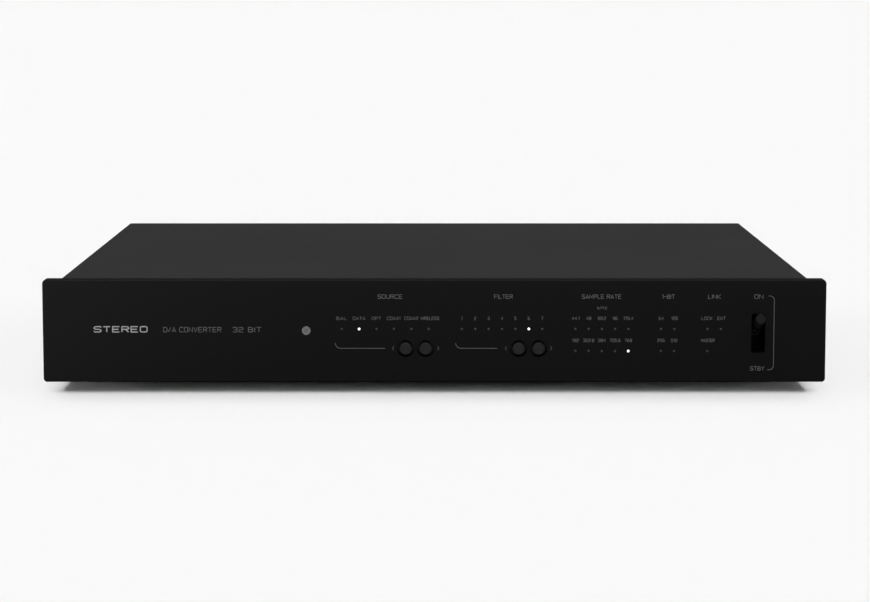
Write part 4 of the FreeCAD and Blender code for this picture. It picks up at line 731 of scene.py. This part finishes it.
# Labels that have a width of their own, and those that stand a little to one side of their lamp.
LABEL_WIDTHS = {
    "BAL": 6.0, "DATA": 7.2, "OPT": 5.4, "COAX1": 7.6, "COAX2": 7.9, "WIRELESS": 10.6, "MASTER": 7.8,
}
LABEL_PUSH = {"WIRELESS": 0.6, "COAX1": -0.2, "MASTER": 0.2, "LOCK": -0.4, "EXT": 0.3}

# Text, x, height above the plate's lower edge, and width, in millimetres.
HEADINGS = [
    ("SOURCE", -25.4, 49.5, 14.2),
    ("FILTER", 39.7, 49.5, 10.7),
    ("SAMPLE RATE", 96.0, 49.5, 22.7),
    ("1-BIT", 134.3, 49.5, 7.4),
    ("LINK", 160.8, 49.5, 7.4),
    ("ON", 186.2, 49.5, 5.1),
    ("STBY", 185.8, 7.9, 8.2),
]
HEADING_HEIGHT = 2.5 * MM
HEADING_PEN = 0.26 * MM

# The same, then the height and the pen, for the larger words on the left.
NAME = ("STEREO", -180.2, 30.6, 31, 3.7, 0.6)
TITLES = [
    ("D/A CONVERTER", -139, 30.4, 33.4, 3.0, 0.3),
    ("32 BIT", -107.5, 30.4, 16.5, 3.0, 0.3),
]
UNIT = ("kHz", 96.5, 43.1, 5.6)


def add_label(mesh, text, place, width=None):
    """Small lettering at its own width, unless one is given in millimetres."""
    natural = lay_out(text)[1] / GLYPH_RISE * LABEL_HEIGHT
    add_text(mesh, text, place, LABEL_HEIGHT, width * MM if width else natural, LABEL_PEN)


def add_title(mesh, text, x, z, width, height, pen):
    """A larger word, all in millimetres."""
    add_text(mesh, text, facing_front(x * MM, z * MM), height * MM, width * MM, pen * MM)


def face_legends():
    """The lettering on the face plate."""
    headings, labels, name = bmesh.new(), bmesh.new(), bmesh.new()
    for text, x, z, width in HEADINGS:
        add_text(headings, text, facing_front(x * MM, z * MM), HEADING_HEIGHT, width * MM, HEADING_PEN)
    unit, x, z, width = UNIT
    add_label(labels, unit, facing_front(x * MM, z * MM), width)
    for group, texts in LABELS.items():
        for text, (x, level) in zip(texts, LAMPS[group]):
            push = LABEL_PUSH.get(text, 0) * MM
            add_label(labels, text, facing_front(x + push, level + LABEL_RISE), LABEL_WIDTHS.get(text))
    add_title(name, *NAME)
    for title in TITLES:
        add_title(headings, *title)
    grey = ink("ink_grey", 0.1)
    make_piece("heading_lettering", headings, grey)
    make_piece("lamp_lettering", labels, grey)
    make_piece("name_lettering", name, ink("ink_light", 0.3))


# The printed lines, in millimetres: x from the middle of the plate, and height above its lower edge.
LINE_PEN = 0.36 * MM
HOOK_ENDS = ((-56.9, -28.2), (12.3, 36.2))
HOOK_TOP = 22.6
HOOK_CORNER = 3.0
BRACKET_TOP, BRACKET_BASE, BRACKET_SIDE = 49.9, 7.1, 195.1
BRACKET_CORNER = 2.6
BRACKET_TURN = 75
BRACKET_ARMS = (3.3, 3.6)
CHEVRON_OFFSET = 7.6
CHEVRON_WIDTH, CHEVRON_RISE = 0.7, 1.2
CHEVRON_PEN = 0.26 * MM
BUTTON_PAIRS = (
    ("source_previous_button", "source_next_button"),
    ("filter_previous_button", "filter_next_button"),
)


def face_lines():
    """A hooked line under each row of lamps, a bracket round the lever, and a chevron beside each button."""
    lines = bmesh.new()
    origin = facing_front(0, 0)
    for start, end in HOOK_ENDS:
        bend = arc_points((start + HOOK_CORNER, HOOK_TOP), HOOK_CORNER, 180, 270)
        add_line(lines, bend + [(end, HOOK_TOP - HOOK_CORNER)], origin, LINE_PEN)
    upper, lower = BRACKET_ARMS
    across = BRACKET_SIDE - BRACKET_CORNER
    bracket = [(BRACKET_SIDE - upper, BRACKET_TOP)]
    bracket += arc_points((across, BRACKET_TOP - BRACKET_CORNER), BRACKET_CORNER, BRACKET_TURN, 0)
    bracket += arc_points((across, BRACKET_BASE + BRACKET_CORNER), BRACKET_CORNER, 0, -BRACKET_TURN)
    bracket += [(BRACKET_SIDE - lower, BRACKET_BASE)]
    add_line(lines, bracket, origin, LINE_PEN)
    for pair in BUTTON_PAIRS:
        level = (middle(pair[0]).z - PANEL_BASE) / MM
        for name, way in zip(pair, (-1, 1)):
            tip = middle(name).x / MM + way * CHEVRON_OFFSET
            back = tip - way * CHEVRON_WIDTH
            chevron = [(back, level + CHEVRON_RISE), (tip, level), (back, level - CHEVRON_RISE)]
            add_line(lines, chevron, origin, CHEVRON_PEN)
    make_piece("printed_lines", lines, ink("ink_line", 0.075))


# Half the outline of a lens: radius, and how far it stands out of the plate, in millimetres.
LENS = [(0.69, -0.3), (0.69, -0.02), (0.6, 0.05), (0.4, 0.1), (0.2, 0.125), (0, 0.13)]


def lamp_lenses():
    """A shallow domed end for every lamp: three are lit."""
    dark, lit = bmesh.new(), bmesh.new()
    for spots in LAMPS.values():
        for spot in spots:
            add_turned(lit if spot in LIT else dark, LENS, facing_front(*spot), 20)
    unlit = plastic("lens_smoke", (0.02, 0.02, 0.0215), 0.3, 0.25, 0.002)
    make_piece("lamp_lenses", dark, unlit, smooth=True)
    make_piece("lit_lamp_lenses", lit, glowing("lens_lit", (1, 1, 1), 1.15), smooth=True)


# ---------------------------------------------------------------- rear panel

# All sockets stand on one level. A flange stands this many millimetres out of the panel.
# Pins and blades are placed by (right, up) in millimetres, as seen from inside the case.
SOCKET_LEVEL = MOUNTS["coaxial_input_1"].z
FLANGE = 2
SIGNAL_PINS = ((-3.8, 1.3), (3.8, 1.3), (0, -4))
SIGNAL_PIN_RADIUS = 1.27
MAINS_BLADES = ((-7, 3.1), (0, 7.1), (7, 3.1))

# Text, x and height above the floor, in millimetres.
REAR_LABELS = [
    ("BALANCED OUT", 159, 51.4), ("L", 141, 12.6), ("R", 177, 12.6),
    ("LINE OUT", 91, 43.6), ("L", 78, 20.4), ("R", 104, 20.4),
    ("BALANCED IN", 42, 51.4), ("COAX 1", -20, 43.6), ("COAX 2", 4, 43.6),
    ("OPT", -46, 43.6), ("DATA", -72, 43.6), ("AERIAL", -98, 43.6), ("DIGITAL IN", -46, 51.4),
    ("POWER", -129, 46.4), ("AC IN", -178, 51.4), ("FUSE", -178, 12.6),
]
REAR_LABEL_HEIGHT = 2.3 * MM
REAR_LABEL_PEN = 0.3 * MM
REAR_BRACKET = [(-11, 47.4), (-11, 48.6), (103, 48.6), (103, 47.4)]
REAR_BRACKET_PEN = 0.25 * MM


def rear_place(mount):
    """The middle of a socket on the rear panel, as (right, up, out) from behind."""
    return facing_back(MOUNTS[mount].x, SOCKET_LEVEL)


def out_of_rear(node):
    """How far a node stands out of the rear panel, in millimetres."""
    return (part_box(node)[1].y - REAR) / MM


def add_bar(mesh, place, sections):
    """A rectangular bar along the out axis from (half width, half height, out) sections in millimetres."""
    rings = []
    for across, up, out in sections:
        corners = ((-across, -up), (across, -up), (across, up), (-across, up))
        rings.append([mesh.verts.new(place @ (Vector((u, v, out)) * MM)) for u, v in corners])
    for first, second in zip(rings, rings[1:]):
        for i in range(4):
            mesh.faces.new((first[i], first[(i + 1) % 4], second[(i + 1) % 4], second[i]))
    mesh.faces.new(rings[0])
    mesh.faces.new(rings[-1])


def offset(place, right, up):
    """A place moved across its own plane, in millimetres."""
    return place @ Matrix.Translation((right * MM, up * MM, 0))


def phono_details():
    """A coloured washer behind each collar, and an insulator of the same colour in each mouth."""
    tip = out_of_rear("phono_sockets")
    washer = [(6.6, 0), (7.7, 0), (7.7, 0.7), (7.45, 0.95), (6.6, 0.95)]
    insulator = [(1.75, tip - 0.7), (2.85, tip - 0.7), (2.85, tip - 0.42), (1.75, tip - 0.35)]
    colours = {
        "white": ((0.62, 0.61, 0.58), ("line_output_left",)),
        "red": ((0.42, 0.018, 0.012), ("line_output_right",)),
        "orange": ((0.6, 0.17, 0.02), ("coaxial_input_1", "coaxial_input_2")),
    }
    for colour, (tone, mounts) in colours.items():
        mesh = bmesh.new()
        for mount in mounts:
            add_turned(mesh, washer, rear_place(mount))
            add_turned(mesh, insulator, rear_place(mount), 32)
        make_piece(f"phono_rings_{colour}", mesh, plastic(f"ring_{colour}", tone, 0.4))


def balanced_details():
    """Plated pins in the two outputs, and the contacts inside the input's three holes."""
    pins, contacts = bmesh.new(), bmesh.new()
    root, end = FLANGE - 13.8, FLANGE - 2.9
    side = SIGNAL_PIN_RADIUS
    pin = [(0, root), (side, root), (side, end - 0.7), (1.05, end - 0.25), (0.6, end), (0, end + 0.05)]
    face = out_of_rear("balanced_input_socket")
    ring = [(0.8, face - 2.4), (1.36, face - 2.4), (1.36, face - 0.9), (1.1, face - 0.7), (0.8, face - 0.9)]
    for u, v in SIGNAL_PINS:
        for mount in ("balanced_output_left", "balanced_output_right"):
            add_turned(pins, pin, offset(rear_place(mount), -u, v), 24)
        add_turned(contacts, ring, offset(rear_place("balanced_input"), -u, v), 24)
    silver = plated("pin_silver", (0.78, 0.77, 0.74), 0.2)
    make_piece("balanced_pins", pins, silver, smooth=True)
    make_piece("balanced_contacts", contacts, silver)


def mains_details():
    """Nickel blades in the mains inlet."""
    blades = bmesh.new()
    place = rear_place("mains_inlet_socket")
    root, end = FLANGE - 14.8, FLANGE - 2.9
    for u, v in MAINS_BLADES:
        add_bar(blades, offset(place, -u, v), [(1.06, 2.06, root), (1.06, 2.06, end - 0.8), (0.7, 1.6, end)])
    make_piece("mains_blades", blades, plated("blade_nickel", (0.66, 0.65, 0.62), 0.3))


# How far the fuse lies forward of the drawer's middle and below its top, and the outlines of its body and of
# a cap: radius, and distance along the fuse from its middle. All in millimetres.
FUSE_FORWARD = 1.2
FUSE_BELOW_TOP = 2.5
FUSE_BODY = [(0, -5.2), (1.95, -5.2), (1.95, 5.2), (0, 5.2)]
FUSE_CAP = [(0, 4.4), (2.1, 4.4), (2.1, 7.2), (1.85, 7.45), (0, 7.5)]


def fuse():
    """The short ceramic fuse that lies across the drawer and slides out with it."""
    body, caps = bmesh.new(), bmesh.new()
    centre = middle("fuse_drawer")
    centre.y -= FUSE_FORWARD * MM
    centre.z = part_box("fuse_drawer")[1].z - FUSE_BELOW_TOP * MM
    place = Matrix.Translation(centre) @ Matrix.Rotation(math.pi / 2, 4, "Y")
    add_turned(body, FUSE_BODY, place, 32)
    for way in (-1, 1):
        add_turned(caps, [(radius, out * way) for radius, out in FUSE_CAP], place, 32)
    ceramic = plastic("fuse_ceramic", (0.66, 0.65, 0.6), 0.5)
    nickel = plated("fuse_nickel", (0.7, 0.68, 0.64), 0.25)
    make_piece("fuse_body", body, ceramic, "fuse_drawer")
    make_piece("fuse_caps", caps, nickel, "fuse_drawer")


def data_details():
    """The data socket's moulded tongue, with two contacts above it and two below."""
    tongue, contacts = bmesh.new(), bmesh.new()
    place = rear_place("computer_input")
    face = out_of_rear("computer_socket")
    add_bar(tongue, place, [(2.86, 1.66, face - 8.9), (2.86, 1.66, face - 0.7), (2.6, 1.4, face - 0.42)])
    for u in (-1.25, 1.25):
        for v in (-1.7, 1.7):
            strip = [(0.5, 0.1, face - 8.6), (0.5, 0.1, face - 1.3), (0.35, 0.06, face - 0.9)]
            add_bar(contacts, offset(place, u, v), strip)
    make_piece("data_tongue", tongue, plastic("tongue_white", (0.5, 0.5, 0.48), 0.4))
    gold = plated("contact_gold", (0.86, 0.62, 0.25), 0.25)
    make_piece("data_contacts", contacts, gold)


def aerial_details():
    """The white insulator round the aerial socket's centre contact."""
    mesh = bmesh.new()
    end = out_of_rear("antenna_socket")
    sleeve = [(0.74, end - 5.1), (2.26, end - 5.1), (2.26, end - 2.6), (0.74, end - 2.4)]
    add_turned(mesh, sleeve, rear_place("antenna_thread"), 32)
    white = plastic("insulator_white", (0.68, 0.68, 0.66), 0.35)
    make_piece("aerial_insulator", mesh, white)


def rear_legends():
    """The lettering on the rear panel, and the bracket that joins the digital inputs."""
    labels = bmesh.new()
    for text, x, z in REAR_LABELS:
        width = lay_out(text)[1] / GLYPH_RISE * (REAR_LABEL_HEIGHT - REAR_LABEL_PEN) + REAR_LABEL_PEN
        add_text(labels, text, facing_back(x * MM, z * MM), REAR_LABEL_HEIGHT, width, REAR_LABEL_PEN)
    add_line(labels, REAR_BRACKET, facing_back(0, 0), REAR_BRACKET_PEN)
    make_piece("rear_lettering", labels, ink("ink_rear", 0.3))


def rocker_half(upper):
    """The place on one half of the rocker's face, as (right, up, out)."""
    level = middle("mains_rocker").z
    faces = [f for f in NODES["mains_rocker"].data.polygons if f.normal.y > 0.8]
    normal = max((f for f in faces if (f.center.z > level) == upper), key=lambda f: f.area).normal
    flat = [f for f in faces if f.normal.dot(normal) > 0.9999]
    spot = sum((f.center * f.area for f in flat), Vector()) / sum(f.area for f in flat)
    right = Vector((-1, 0, 0))
    axes = Matrix((right, normal.cross(right), normal)).transposed().to_4x4()
    return Matrix.Translation(spot) @ axes


def rocker_marks():
    """The usual line for on and ring for off, printed on the rocker."""
    marks = bmesh.new()
    add_line(marks, [(0, -1.6), (0, 1.6)], rocker_half(True), 0.5 * MM)
    add_turned(marks, [(1.15, 0), (1.65, 0), (1.65, 0.02), (1.15, 0.02)], rocker_half(False), 32)
    make_piece("rocker_marks", marks, ink("ink_rocker", 0.6), "mains_rocker")


# ---------------------------------------------------------------- run


add_camera()
add_light(add_floor())
bpy.context.scene.view_settings.view_transform = "Standard"
dress_frame()
face_legends()
face_lines()
lamp_lenses()
phono_details()
balanced_details()
mains_details()
fuse()
data_details()
aerial_details()
rear_legends()
rocker_marks()
